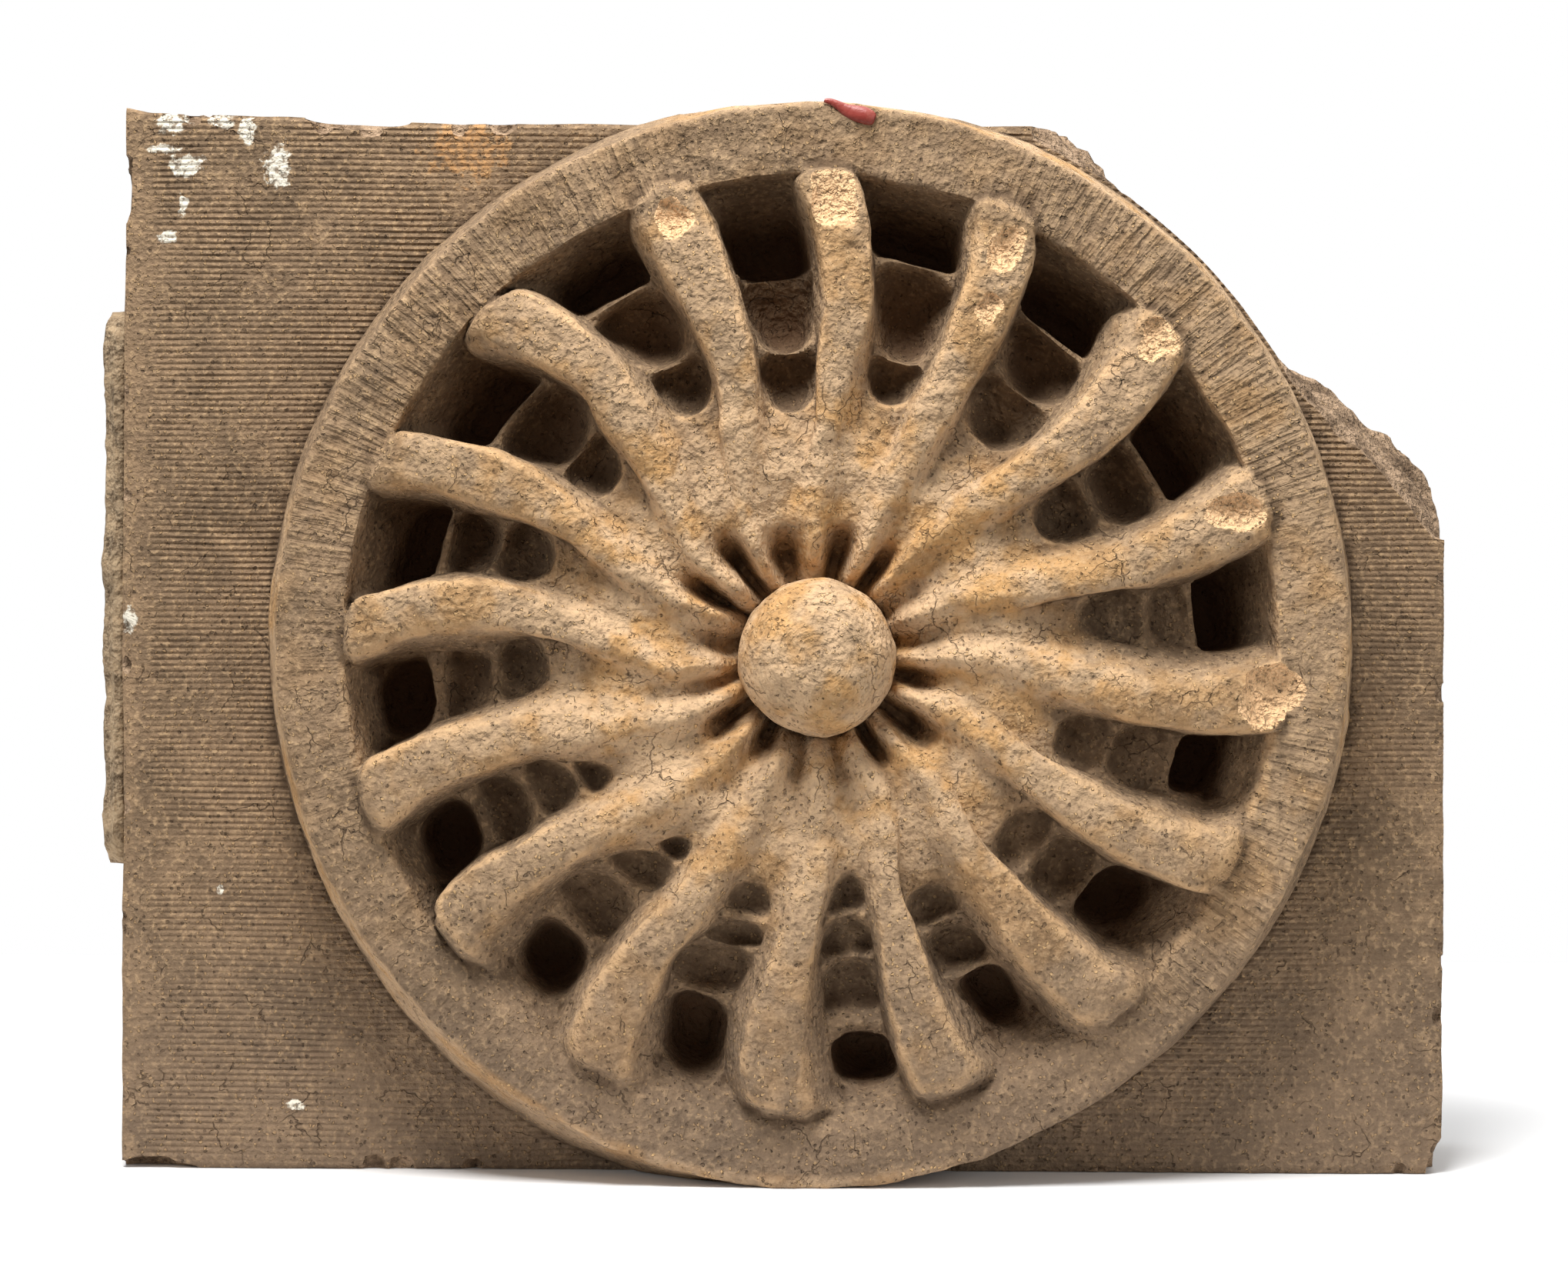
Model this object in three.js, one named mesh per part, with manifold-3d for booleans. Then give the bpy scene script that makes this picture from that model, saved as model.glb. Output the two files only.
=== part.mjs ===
// Terracotta wall block: a hollow-backed block with a raised ring and a rosette of sixteen swaying arms.
// Millimetres, +Z up. The ornament faces -Y, the bed lies on z = 0, and the origin is at the bed's middle.
import * as THREE from "three";
import { mergeVertices } from "three/addons/utils/BufferGeometryUtils.js";
import Module from "manifold-3d";

const { clamp, degToRad, lerp, radToDeg, smoothstep } = THREE.MathUtils;

// Block and the cells that open to its back
const BLOCK_WIDTH = 609.6;
const BLOCK_HEIGHT = 484;
const BLOCK_DEPTH = 100;
const FACE_Y = -BLOCK_DEPTH / 2;
const SHELL = 38;
const WALL = 32;
const WEB = 28;
const CELL_COUNT = 3;
const CELL_DRAFT = 5;

// Ring: a flat-faced hoop, set a little off the block's middle, with a sloping outer side
const RING = { x: 12.4, z: 244.8, inner: 209, outer: 240.5, foot: 250, height: 45, edge: 3 };

// Where the ring swells: its inner edge and its outer edge at the bottom, and its foot at the lower left
const SLOPE_SWELL = { length: 10, power: 1.5 };
const BOTTOM_SWELL = { length: 5, power: 6 };
const COVE_SWELL = { length: 8, power: 8, turn: 205 };

// Rosette's centre, and the hub: a squat button standing in a moat, a little off that centre
const CENTRE = { x: 14, z: 238.6 };
const HUB = { x: 15, z: 237.2, radius: 35.4, top: 72, moat: 16 };
const HUB_SIDES = 32;

// Arms: turn, in degrees clockwise from the top, at four radii from the tip inwards, then how far
// the tip laps over the ring's inner edge, and how much of the tip is broken off
const ARM_RADII = [212, 147, 106, 67];
const ARMS = [
  { turn: [1.3, 4.8, 2.5, -1], lap: 2, lost: 2 },
  { turn: [23.4, 26.3, 25, 24], lap: 6, lost: 2 },
  { turn: [46.9, 50, 48, 44], lap: 5, lost: 1 },
  { turn: [70.7, 74.3, 74, 68], lap: 4, lost: 1 },
  { turn: [94.5, 97.6, 95, 91], lap: 6, lost: 12 },
  { turn: [116.1, 119.8, 118, 113.5], lap: 4, lost: 0 },
  { turn: [138.5, 142, 140.5, 136.5], lap: 8, lost: 0 },
  { turn: [161.4, 163.6, 161, 155], lap: 5, lost: 0 },
  { turn: [182.9, 184.8, 181, 178.5], lap: 4, lost: 0 },
  { turn: [207, 208.5, 204.5, 200.5], lap: 8, lost: 0 },
  { turn: [231.4, 233.4, 228.7, 222], lap: 1, lost: 0 },
  { turn: [251.2, 254.4, 251.4, 245], lap: 4, lost: 0 },
  { turn: [272.7, 278.1, 275.4, 264.5], lap: 0, lost: 0 },
  { turn: [294.2, 298.3, 296, 291.5], lap: 3, lost: 0 },
  { turn: [316.3, 321.6, 319, 309], lap: 0, lost: 0 },
  { turn: [341.4, 343.8, 341.4, 330.4], lap: 6, lost: 2 },
];
const ARM_COUNT = ARMS.length;
const TIP_ROUND = 9;
const TIP_BREAK_LENGTH = 30;

// Height of an arm's crest and of the dome between arms, by distance from the rosette's centre
const CREST = [[30, 30], [37, 35], [43, 44], [52, 50], [80, 54], [110, 56], [150, 58], [190, 56], [215, 54]];
const DOME = [[46, 36], [60, 41], [85, 45]];

// Half width of the crest's rounded top, by distance; how far it rounds down; and the fall of the flanks
const CREST_HALVES = [[46, 2.5], [80, 4.5], [110, 7.5], [150, 10.5], [190, 12]];
const CREST_SHARE = 0.75;
const CREST_ROUND = 3;
const FLANK_POWER = 1.5;

// Slots around the hub: floor, length of the slope at the outer end, and where each one ends
const SLOT_FLOOR = 24;
const SLOT_RUN = 19;
const SLOT_ENDS = [63, 62, 48, 49, 58, 70, 62, 47, 47, 56, 62, 48, 50, 72, 72, 62];

// An arm's half width: a share of the gap at the root, and a length where it lies on the ring
const ROOT_SHARE = 0.42;
const ROOT_RADII = [46, 66];
const TIP_HALF = 15;
const TIP_BLEND = [-3, 4];

// Pits in each gap, from the outer hole inwards: inner and outer radius, then the turns of the two sides
const PITS = [
  [[184, 214, 6.5, 18.7], [138.5, 177, 9.5, 20.8], [117, 137, 10.9, 19.7]],
  [[181.5, 214, 29.5, 40.3], [153, 177, 31.4, 44], [122, 151, 31.2, 43.5]],
  [[175, 212, 53.5, 65.5], [143, 169, 55.3, 67.5], [115.5, 141, 54.5, 65.5]],
  [[174, 208, 77.5, 89], [150, 169, 79.5, 88.6], [119, 148, 77.3, 87.5]],
  [[170, 190, 101.6, 110], [139.5, 165, 102, 113], [114.5, 137, 103, 114]],
  [[163, 186, 124, 134], [135, 158, 124.7, 136], [114.5, 133, 123.8, 138]],
  [[161, 189.5, 148.2, 155.5], [135, 157, 149, 158.5], [114.5, 133, 150.3, 159.2]],
  [[172.5, 194.5, 168.6, 177], [138.5, 163, 169, 178.6], [119, 137, 168.2, 179], [101, 117.5, 168, 176.4]],
  [[164, 195.5, 193, 201.5], [136.5, 158, 192, 204.5], [122.5, 135, 190.4, 200], [105, 121, 189.7, 199.3]],
  [[169.5, 195.5, 216.3, 225], [134.5, 160.5, 215.2, 227.2], [114, 132.5, 212.2, 223.9],
    [101, 112, 211.7, 216.6]],
  [[173, 199, 238.6, 247.4], [143.5, 165, 237.6, 248.5], [121.5, 142, 238.2, 248],
    [105.5, 120, 237.6, 244.4]],
  [[174, 198, 258.5, 269], [144.5, 168, 260.7, 270.8], [121, 143, 261.8, 272.3]],
  [[176.5, 209, 278.5, 290], [150, 171, 283.5, 292.5], [125, 148.5, 283.8, 294]],
  [[176.5, 213, 300, 311.8], [140.5, 170, 304, 317.5], [119, 139, 304.7, 315]],
  [[186, 214, 323.3, 335.3], [146.5, 180, 327.1, 337.7], [121.5, 145, 328.6, 338.5]],
  [[174, 214, 347.5, 357.8], [137.5, 171, 348.5, 359.5], [111, 136, 348.4, 359.6]],
];
const PIT_FLOORS = [-12, 17, 27, 34];
const PIT_POWERS = [3.4, 2.7, 2.5, 2.3];
const PIT_STEEPNESS = 0.75;
const CUP_TILT = 0.2;
const MISSING_CUP_STEP = 16;

// Heights of the web inside the hole and of the cups' inner rims, and of the foot of the ring's inner side
const RIM_HEIGHTS = [30, 37, 42];
const RING_SIDE_FEET = [38, 38, 38, 36, 8, 8, 15, 27, 28, 27, 18, 10, 36, 38, 38, 38];
const HOLE_GAP = 2;

// How deep the rosette is let into the block
const RECESS = { radius: 226, depth: 20 };
const ROSETTE_EMBED = 24;

// Grid of one gap: lines from an arm's middle to its side and on through the pits, and rows between stops
const ARM_LINES = [0, 0.5, 0.8];
const PIT_LINES = [0, 0.25, 0.5, 0.75];
const ROOT_STOPS = [30, 37, 43, 50, 62];
const PIT_ROWS = [[0, 0.5], [0, 0.25, 0.75], [0, 0.25, 0.75], [0], [0, 0.2, 0.8], [0]];
const TIP_ROWS = [0, 0.2];

// Broken corner: its edge on the face leaves the top, follows the ring's foot and runs to the right side;
// the lean, by turn about the ring, is how far the broken side stands out a shell's depth behind the face
const BREAK_START = [111, 500];
const BREAK_RING = { radius: 251.5, from: 23.5, to: 60, steps: 8 };
const BREAK_SIDE = [[237, 361], [253, 340.5], [274, 325], [298.5, 293], [330, 291]];
const BREAK_LEANS = [[23, 21], [33, 7], [38, 1.5], [56, 1.5], [62, 12], [67, 23], [80, 24], [90, 16]];
const BREAK_FRONT = 2;
const BREAK_REACH = 200;

// Smaller chips on the edges: place on the face, and size along x, y and z
const CHIPS = [
  { x: 308, z: 0, size: [10, 26, 18] },
  { x: -196, z: 487, size: [26, 22, 8] },
  { x: -290, z: -4, size: [24, 14, 9] },
  { x: -308, z: 452, size: [6, 14, 20] },
];

// Mortar left on the left joint, and the dab of red on the ring's top
const MORTAR = { low: 138, high: 398, front: 12, back: 62, out: 12.5, lean: 4, rows: 13 };
const DAB = { x: 28, z: 478.8, length: 27, half: 4.2, thick: 0.3, turn: 20 };
const CLEARANCE = 0.3;

const wasm = await Module();
wasm.setup();

// Solids
function solidFrom(geometry) {
  const bare = geometry.clone();
  bare.deleteAttribute("normal");
  bare.deleteAttribute("uv");
  const merged = mergeVertices(bare, 1e-4);
  return new wasm.Manifold(new wasm.Mesh({
    numProp: 3,
    vertProperties: new Float32Array(merged.attributes.position.array),
    triVerts: new Uint32Array(merged.index.array),
  }));
}

function geometryFrom(solid) {
  const mesh = solid.getMesh();
  const geometry = new THREE.BufferGeometry();
  geometry.setAttribute("position", new THREE.BufferAttribute(mesh.vertProperties, 3));
  geometry.setIndex(new THREE.BufferAttribute(mesh.triVerts, 1));
  geometry.computeVertexNormals();
  return geometry;
}

function boxBetween(low, high) {
  const size = high.map((value, axis) => value - low[axis]);
  const geometry = new THREE.BoxGeometry(...size);
  geometry.translate(...low.map((value, axis) => value + size[axis] / 2));
  return geometry;
}

// Closed skin through a stack of loops with equal point counts, with a fan at each end.
function loftLoops(loops, startCentre, endCentre) {
  const count = loops[0].length;
  const points = [...loops.flat(), startCentre, endCentre];
  const start = points.length - 2;
  const end = points.length - 1;
  const lastRow = (loops.length - 1) * count;
  const faces = [];
  for (let i = 0; i < count; i++) {
    const next = (i + 1) % count;
    faces.push(start, next, i);
    faces.push(end, lastRow + i, lastRow + next);
    for (let row = 0; row < lastRow; row += count) {
      faces.push(row + i, row + next, row + count + next);
      faces.push(row + i, row + count + next, row + count + i);
    }
  }
  const geometry = new THREE.BufferGeometry();
  geometry.setAttribute("position", new THREE.Float32BufferAttribute(points.flat(), 3));
  geometry.setIndex(faces);
  return geometry;
}

// Value of a profile of [distance, value] pairs, in straight steps.
function along(profile, distance) {
  const reach = clamp(distance, profile[0][0], profile.at(-1)[0]);
  const next = Math.max(1, profile.findIndex(([place]) => place >= reach));
  const [d0, v0] = profile[next - 1];
  const [d1, v1] = profile[next];
  return lerp(v0, v1, (reach - d0) / (d1 - d0));
}

// Distance from the rosette's centre, along a ray, to a circle about the ring's centre.
function ringReach(angle, radius) {
  const dx = RING.x - CENTRE.x;
  const dz = RING.z - CENTRE.z;
  const forward = dx * Math.sin(angle) + dz * Math.cos(angle);
  const sideways = dx * Math.cos(angle) - dz * Math.sin(angle);
  return forward + Math.sqrt(radius ** 2 - sideways ** 2);
}

function ringEdges(angle) {
  const swell = ({ length, power, turn = 180 }) => (
    length * Math.max(0, Math.cos(angle - degToRad(turn))) ** power
  );
  return {
    inner: ringReach(angle, RING.inner + swell(SLOPE_SWELL)),
    outer: ringReach(angle, RING.outer + swell(BOTTOM_SWELL)),
    foot: ringReach(angle, RING.foot + swell(COVE_SWELL)),
  };
}

// Turn of an arm's centre line at a radius: the cubic through its four measured turns.
function armAngle(index, r) {
  const arm = ARMS[(index + ARM_COUNT) % ARM_COUNT];
  const rounds = Math.floor(index / ARM_COUNT);
  const place = clamp(r, ARM_RADII.at(-1), ARM_RADII[0]);
  let turn = 360 * rounds;
  for (let i = 0; i < ARM_RADII.length; i++) {
    let weight = 1;
    for (let j = 0; j < ARM_RADII.length; j++) {
      if (j !== i) weight *= (place - ARM_RADII[j]) / (ARM_RADII[i] - ARM_RADII[j]);
    }
    turn += weight * arm.turn[i];
  }
  return degToRad(turn);
}

function angleAt(gap, share, r) {
  return lerp(armAngle(gap, r), armAngle(gap + 1, r), share);
}

// Pits of a gap from the outer hole inwards, the hole ending just inside the ring.
function gapPits(gap) {
  const turns = 360 * Math.floor(gap / ARM_COUNT);
  return PITS[(gap + ARM_COUNT) % ARM_COUNT].map(([low, high, start, end], i) => {
    const reach = ringEdges(degToRad((start + end) / 2)).inner - HOLE_GAP;
    return { low, high: i === 0 ? Math.min(high, reach) : high, start: start + turns, end: end + turns };
  });
}

// Shares of a gap, from one arm's middle to the next, at which its pits begin and end at a radius.
function pitSides(gap, r) {
  const stops = gapPits(gap).reverse().map(({ low, high, start, end }) => {
    const place = (low + high) / 2;
    const from = armAngle(gap, place);
    const span = armAngle(gap + 1, place) - from;
    return [place, (degToRad(start) - from) / span, (degToRad(end) - from) / span];
  });
  const [, holeLeft, holeRight] = stops.at(-1);
  const tip = TIP_HALF / (RING.inner * (armAngle(gap + 1, RING.inner) - armAngle(gap, RING.inner)));
  const rows = [
    ...ROOT_RADII.map((place) => [place, ROOT_SHARE, 1 - ROOT_SHARE]),
    ...stops,
    [RING.inner + TIP_BLEND[0], holeLeft, holeRight],
    [RING.inner + TIP_BLEND[1], tip, 1 - tip],
  ];
  const left = along(rows.map(([place, share]) => [place, share]), r);
  const right = along(rows.map(([place, , share]) => [place, share]), r);
  return { left, right };
}

// Ground between two arms: slot at the hub, dome, the rims of the pits, then the ring's side.
function groundHeight(gap, r, inner) {
  const [hole, first, second] = gapPits(gap);
  const [web, firstRim, secondRim] = RIM_HEIGHTS;
  const rims = [[second.low, secondRim], [first.low, firstRim], [first.high, web], [hole.low, web]];
  const profile = [...DOME, ...rims, [hole.high, RING_SIDE_FEET[gap]]];
  const side = clamp((r - hole.high) / (inner - hole.high), 0, 1);
  const ground = lerp(along(profile, r), RING.height, side);
  return lerp(SLOT_FLOOR, ground, smoothstep(r, SLOT_ENDS[gap] - SLOT_RUN, SLOT_ENDS[gap]));
}

// Depth of a gap's pits below its ground, dished as (1 - |v|^p - |w|^p)^q; cups are deeper near the ring.
function pitDepth(gap, across, r, ground) {
  return gapPits(gap).reduce((depth, { low, high }, i) => {
    const lengthwise = (2 * r - low - high) / (high - low);
    const dish = 1 - Math.abs(across) ** PIT_POWERS[i] - Math.abs(lengthwise) ** PIT_POWERS[i];
    const tilt = i === 0 ? 1 : 1 + CUP_TILT * lengthwise;
    return depth + Math.max(0, dish) ** PIT_STEEPNESS * tilt * (ground - PIT_FLOORS[i]);
  }, 0);
}

// Height of an arm over the ground: a rounded crest, flanks that fall as (1 - u)^f, a round or broken tip.
function armRise(index, fromMiddle, half, r, ground) {
  const arm = ARMS[index % ARM_COUNT];
  const tip = ringReach(armAngle(index, r), RING.inner) + arm.lap;
  if (fromMiddle >= half || r >= tip) return 0;
  const past = clamp((r - tip + TIP_ROUND) / TIP_ROUND, 0, 1);
  const out = fromMiddle / Math.sqrt(1 - past ** 2);
  const top = Math.min(along(CREST_HALVES, r), CREST_SHARE * half);
  const down = clamp((out - top) / (half - top), 0, 1);
  const broken = arm.lost * smoothstep(r, tip - TIP_BREAK_LENGTH, tip - TIP_BREAK_LENGTH + TIP_ROUND);
  const crest = along(CREST, r) - broken - CREST_ROUND * Math.min(1, out / top) ** 2;
  return (1 - down) ** FLANK_POWER * Math.max(0, crest - ground);
}

// Height of the rosette above the block's face.
function reliefHeight(gap, share, r) {
  const { inner, outer, foot } = ringEdges(angleAt(gap, share, r));
  const crown = RING.height - RING.edge;
  if (r >= outer) return crown * (foot - r) / (foot - outer);
  const { left, right } = pitSides(gap, r);
  const ground = groundHeight(gap, r, inner);
  const across = clamp((2 * share - left - right) / (right - left), -1, 1);
  const onFirst = share < 0.5;
  const width = r * (armAngle(gap + 1, r) - armAngle(gap, r));
  const half = (onFirst ? left : 1 - right) * width;
  const fromMiddle = Math.min(share, 1 - share) * width;
  const rise = armRise(onFirst ? gap : gap + 1, fromMiddle, half, r, ground);
  return ground + rise - pitDepth(gap, across, r, ground);
}

// Share of the gap on each of its grid lines.
function gridShares(gap, r) {
  const { left, right } = pitSides(gap, r);
  const first = ARM_LINES.map((part) => part * left);
  const pits = PIT_LINES.map((part) => lerp(left, right, part));
  const second = [1, ...ARM_LINES.slice(1).reverse()].map((part) => 1 - part * (1 - right));
  return [...first, ...pits, ...second];
}

// Radii at which a gap's pits begin and end, from the inside outwards.
function pitStops(gap) {
  const [hole, first, second, third] = gapPits(gap);
  const innermost = third ? third.low : second.low - MISSING_CUP_STEP;
  return [innermost, second.low, first.low, first.high, hole.low, hole.high];
}

// Radii of the grid's rows on one line: a gap's own stops in its pits, the mean of two gaps' on an arm.
function gridRows(gap, line, lineCount) {
  const onFirst = 1 - (ARM_LINES[line] ?? 1);
  const onSecond = 1 - (ARM_LINES[lineCount - line] ?? 1);
  const before = pitStops(gap - 1);
  const after = pitStops(gap + 1);
  const stops = pitStops(gap).map((stop, i) => (
    stop + ((before[i] - stop) * onFirst + (after[i] - stop) * onSecond) / 2
  ));
  const share = gridShares(gap, RING.inner)[line];
  const { inner, outer, foot } = ringEdges(angleAt(gap, share, RING.inner));
  const rows = [...ROOT_STOPS];
  PIT_ROWS.forEach((parts, i) => {
    rows.push(...parts.map((part) => lerp(stops[i], stops[i + 1] ?? inner, part)));
  });
  rows.push(...TIP_ROWS.map((part) => lerp(inner, outer, part)), outer - RING.edge, outer, foot);
  return rows;
}

function rosetteSolid() {
  const lineCount = gridShares(0, RING.inner).length;
  const columns = [];
  for (let gap = 0; gap < ARM_COUNT; gap++) {
    for (let line = 0; line < lineCount; line++) {
      const column = gridRows(gap, line, lineCount).map((r) => {
        const share = gridShares(gap, r)[line];
        const angle = angleAt(gap, share, r);
        const y = FACE_Y - reliefHeight(gap, share, r);
        return [CENTRE.x + r * Math.sin(angle), y, CENTRE.z + r * Math.cos(angle)];
      });
      const [footX, , footZ] = column.at(-1);
      columns.push([...column, [footX, FACE_Y + ROSETTE_EMBED, footZ]]);
    }
  }
  const loops = columns[0].map((_, row) => columns.map((column) => column[row]));
  const front = [CENTRE.x, FACE_Y - HUB.moat, CENTRE.z];
  const back = [RING.x, FACE_Y + ROSETTE_EMBED, RING.z];
  const side = 2 * BLOCK_WIDTH;
  const slab = boxBetween([-side, -side, 0], [side, side, BLOCK_HEIGHT]);
  return solidFrom(loftLoops(loops, front, back)).intersect(solidFrom(slab));
}

function hubSolid() {
  const { radius, top, moat } = HUB;
  const rise = top - moat;
  const profile = [[0, -rise * 0.3], [0.86, -rise * 0.3], [0.96, 0.2 * rise], [1, 0.45 * rise],
    [0.93, 0.7 * rise], [0.74, 0.88 * rise], [0.42, 0.97 * rise], [0, rise]];
  const points = profile.map(([share, height]) => new THREE.Vector2(share * radius, height));
  const hub = new THREE.LatheGeometry(points, HUB_SIDES);
  hub.rotateX(Math.PI);
  hub.translate(HUB.x, FACE_Y - moat, HUB.z);
  return solidFrom(hub);
}

function blockSolid() {
  const half = BLOCK_WIDTH / 2;
  const back = FACE_Y + BLOCK_DEPTH;
  let block = solidFrom(boxBetween([-half, FACE_Y, 0], [half, back, BLOCK_HEIGHT]));
  const cellWidth = (BLOCK_WIDTH - 2 * WALL - (CELL_COUNT - 1) * WEB) / CELL_COUNT;
  for (let i = 0; i < CELL_COUNT; i++) {
    const left = -half + WALL + i * (cellWidth + WEB);
    block = block.subtract(cellSolid(left, left + cellWidth));
  }
  const recess = new THREE.CylinderGeometry(RECESS.radius, RECESS.radius, 2 * RECESS.depth, 4 * ARM_COUNT);
  recess.translate(RING.x, FACE_Y, RING.z);
  return block.subtract(brokenCorner()).subtract(solidFrom(recess));
}

// Cell between two x places, widening towards the back so that a mould core can leave it.
function cellSolid(left, right) {
  const floorY = FACE_Y + SHELL;
  const openY = FACE_Y + BLOCK_DEPTH + 1;
  const loop = (inset, y) => [
    [left + inset, y, WALL + inset],
    [left + inset, y, BLOCK_HEIGHT - WALL - inset],
    [right - inset, y, BLOCK_HEIGHT - WALL - inset],
    [right - inset, y, WALL + inset],
  ];
  const middle = (y) => [(left + right) / 2, y, BLOCK_HEIGHT / 2];
  return solidFrom(loftLoops([loop(CELL_DRAFT, floorY), loop(0, openY)], middle(floorY), middle(openY)));
}

// Piece lost at the upper right: its inner side leans outwards towards the back.
function brokenCorner() {
  const { radius, from, to, steps } = BREAK_RING;
  const arc = Array.from({ length: steps + 1 }, (_, i) => {
    const angle = degToRad(lerp(from, to, i / steps));
    return [RING.x + radius * Math.sin(angle), RING.z + radius * Math.cos(angle)];
  });
  const far = BLOCK_WIDTH / 2 + BREAK_REACH;
  const edge = [BREAK_START, ...arc, ...BREAK_SIDE];
  const leaning = edge.map(([x, z]) => {
    const turn = Math.atan2(x - RING.x, z - RING.z);
    const lean = along(BREAK_LEANS, radToDeg(turn));
    return [x + lean * Math.sin(turn), z + lean * Math.cos(turn)];
  });
  const loop = (line, y) => [...line, [far, line.at(-1)[1]], [far, far], [line[0][0], far]]
    .map(([x, z]) => [x, y, z]);
  const frontY = FACE_Y - BREAK_FRONT;
  const shellY = FACE_Y + SHELL;
  const backY = FACE_Y + BLOCK_DEPTH + BREAK_FRONT;
  const centre = (y) => [far - BREAK_REACH / 2, y, BLOCK_HEIGHT];
  const loops = [loop(leaning, backY), loop(leaning, shellY), loop(edge, frontY)];
  return solidFrom(loftLoops(loops, centre(backY), centre(frontY)));
}

function chipSolid({ x, z, size }) {
  const chip = new THREE.IcosahedronGeometry(1, 1);
  chip.scale(...size);
  chip.translate(x, FACE_Y, z);
  return solidFrom(chip);
}

function panelGeometry() {
  let panel = blockSolid().add(rosetteSolid()).add(hubSolid());
  for (const chip of CHIPS) {
    panel = panel.subtract(chipSolid(chip));
  }
  return geometryFrom(panel);
}

// Mortar: a rough strip standing off the joint, thinner towards its lower end.
function mortarGeometry() {
  const joint = -BLOCK_WIDTH / 2 - CLEARANCE;
  const loops = [];
  for (let i = 0; i <= MORTAR.rows; i++) {
    const share = i / MORTAR.rows;
    const z = lerp(MORTAR.low, MORTAR.high, share);
    const ragged = 1.4 * Math.sin(5.1 * i) + 0.8 * Math.sin(2.3 * i + 1);
    const out = MORTAR.out - MORTAR.lean * (1 - smoothstep(share, 0.2, 0.5)) + ragged;
    const front = FACE_Y + MORTAR.front + 2 * Math.sin(3.7 * i);
    const back = FACE_Y + MORTAR.back + 3 * Math.sin(1.9 * i + 2);
    loops.push([
      [joint, front, z],
      [joint, back, z],
      [joint - 0.8 * out, back - 2, z],
      [joint - out, lerp(front, back, 0.5), z],
      [joint - 0.85 * out, front + 2, z],
    ]);
  }
  const centre = (z) => [joint - MORTAR.out / 2, FACE_Y + (MORTAR.front + MORTAR.back) / 2, z];
  return loftLoops(loops, centre(MORTAR.low), centre(MORTAR.high));
}

// Dab: a flattened drop, thin at its upper end, on the ring's face.
function dabGeometry() {
  const outline = [[0, -0.5], [0.75, -0.42], [1, -0.28], [0.8, -0.1], [0.5, 0.1], [0.4, 0.35], [0, 0.5]];
  const points = outline.map(([share, place]) => new THREE.Vector2(share * DAB.half, place * DAB.length));
  const drop = new THREE.LatheGeometry(points, 12);
  drop.scale(1, 1, DAB.thick);
  drop.rotateX(Math.PI / 2);
  drop.rotateY(degToRad(-90 + DAB.turn));
  const lift = DAB.half * DAB.thick + CLEARANCE;
  drop.translate(DAB.x, FACE_Y - RING.height - lift, DAB.z);
  drop.deleteAttribute("normal");
  drop.deleteAttribute("uv");
  return mergeVertices(drop, 1e-4);
}

function piece(name, geometry, colour, roughness) {
  const material = new THREE.MeshStandardMaterial({ color: colour, roughness, metalness: 0 });
  const mesh = new THREE.Mesh(geometry, material);
  mesh.name = name;
  return mesh;
}

const wallBlock = new THREE.Group();
wallBlock.name = "terracotta_wall_block";
wallBlock.add(piece("terracotta_panel", panelGeometry(), 0x8f7658, 0.9));
wallBlock.add(piece("mortar_remnant", mortarGeometry(), 0x84705a, 0.95));
wallBlock.add(piece("red_dab", dabGeometry(), 0xb4605a, 0.4));

export default wallBlock;
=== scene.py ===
"""Weathered terracotta wall block: combed face, raised ring, rosette of swaying arms, hollow back."""
import math

import bpy
import numpy as np
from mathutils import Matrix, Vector


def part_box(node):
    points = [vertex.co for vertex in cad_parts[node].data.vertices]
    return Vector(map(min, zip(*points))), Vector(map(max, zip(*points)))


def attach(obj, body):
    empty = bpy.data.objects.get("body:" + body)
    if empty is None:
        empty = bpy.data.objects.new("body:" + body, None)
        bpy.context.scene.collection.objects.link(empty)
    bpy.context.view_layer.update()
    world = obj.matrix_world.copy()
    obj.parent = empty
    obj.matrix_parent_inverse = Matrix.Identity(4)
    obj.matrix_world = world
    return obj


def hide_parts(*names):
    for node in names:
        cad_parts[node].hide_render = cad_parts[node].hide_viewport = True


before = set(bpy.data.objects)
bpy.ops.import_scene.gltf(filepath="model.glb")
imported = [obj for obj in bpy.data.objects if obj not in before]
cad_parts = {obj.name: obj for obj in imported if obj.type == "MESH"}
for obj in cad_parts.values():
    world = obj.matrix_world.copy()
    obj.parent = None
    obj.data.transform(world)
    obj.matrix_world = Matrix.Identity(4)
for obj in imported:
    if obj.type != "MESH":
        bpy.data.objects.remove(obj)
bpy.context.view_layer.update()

# Shapes are worked out in millimetres and turned into metres when a mesh is made
MM = 0.001
panel_low, panel_high = (np.array(corner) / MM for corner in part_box("terracotta_panel"))
mortar_low, mortar_high = (np.array(corner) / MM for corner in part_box("mortar_remnant"))
dab_low, dab_high = (np.array(corner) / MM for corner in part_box("red_dab"))

# Block
BLOCK_DEPTH = 100
LEFT, RIGHT = panel_low[0], panel_high[0]
BED, TOP = panel_low[2], panel_high[2]
BACK_Y = panel_high[1]
FACE_Y = BACK_Y - BLOCK_DEPTH
SHELL = 38
WALL = 32
WEB = 28
CELL_COUNT = 3
CELL_DRAFT = 5
CELL_CORNER = 0.2
BLOCK_GRID = 10
FRONT_SPARE = 3

# Sections of a cell from the back inwards: depth, and how far the floor's rounding comes in
CELL_FLOOR = BLOCK_DEPTH - SHELL
CELL_SECTIONS = (
    (-4, 0), (0, 0), (16, 0), (32, 0), (46, 0), (54, 1), (58, 3), (60.5, 7), (CELL_FLOOR, 12),
)

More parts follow.
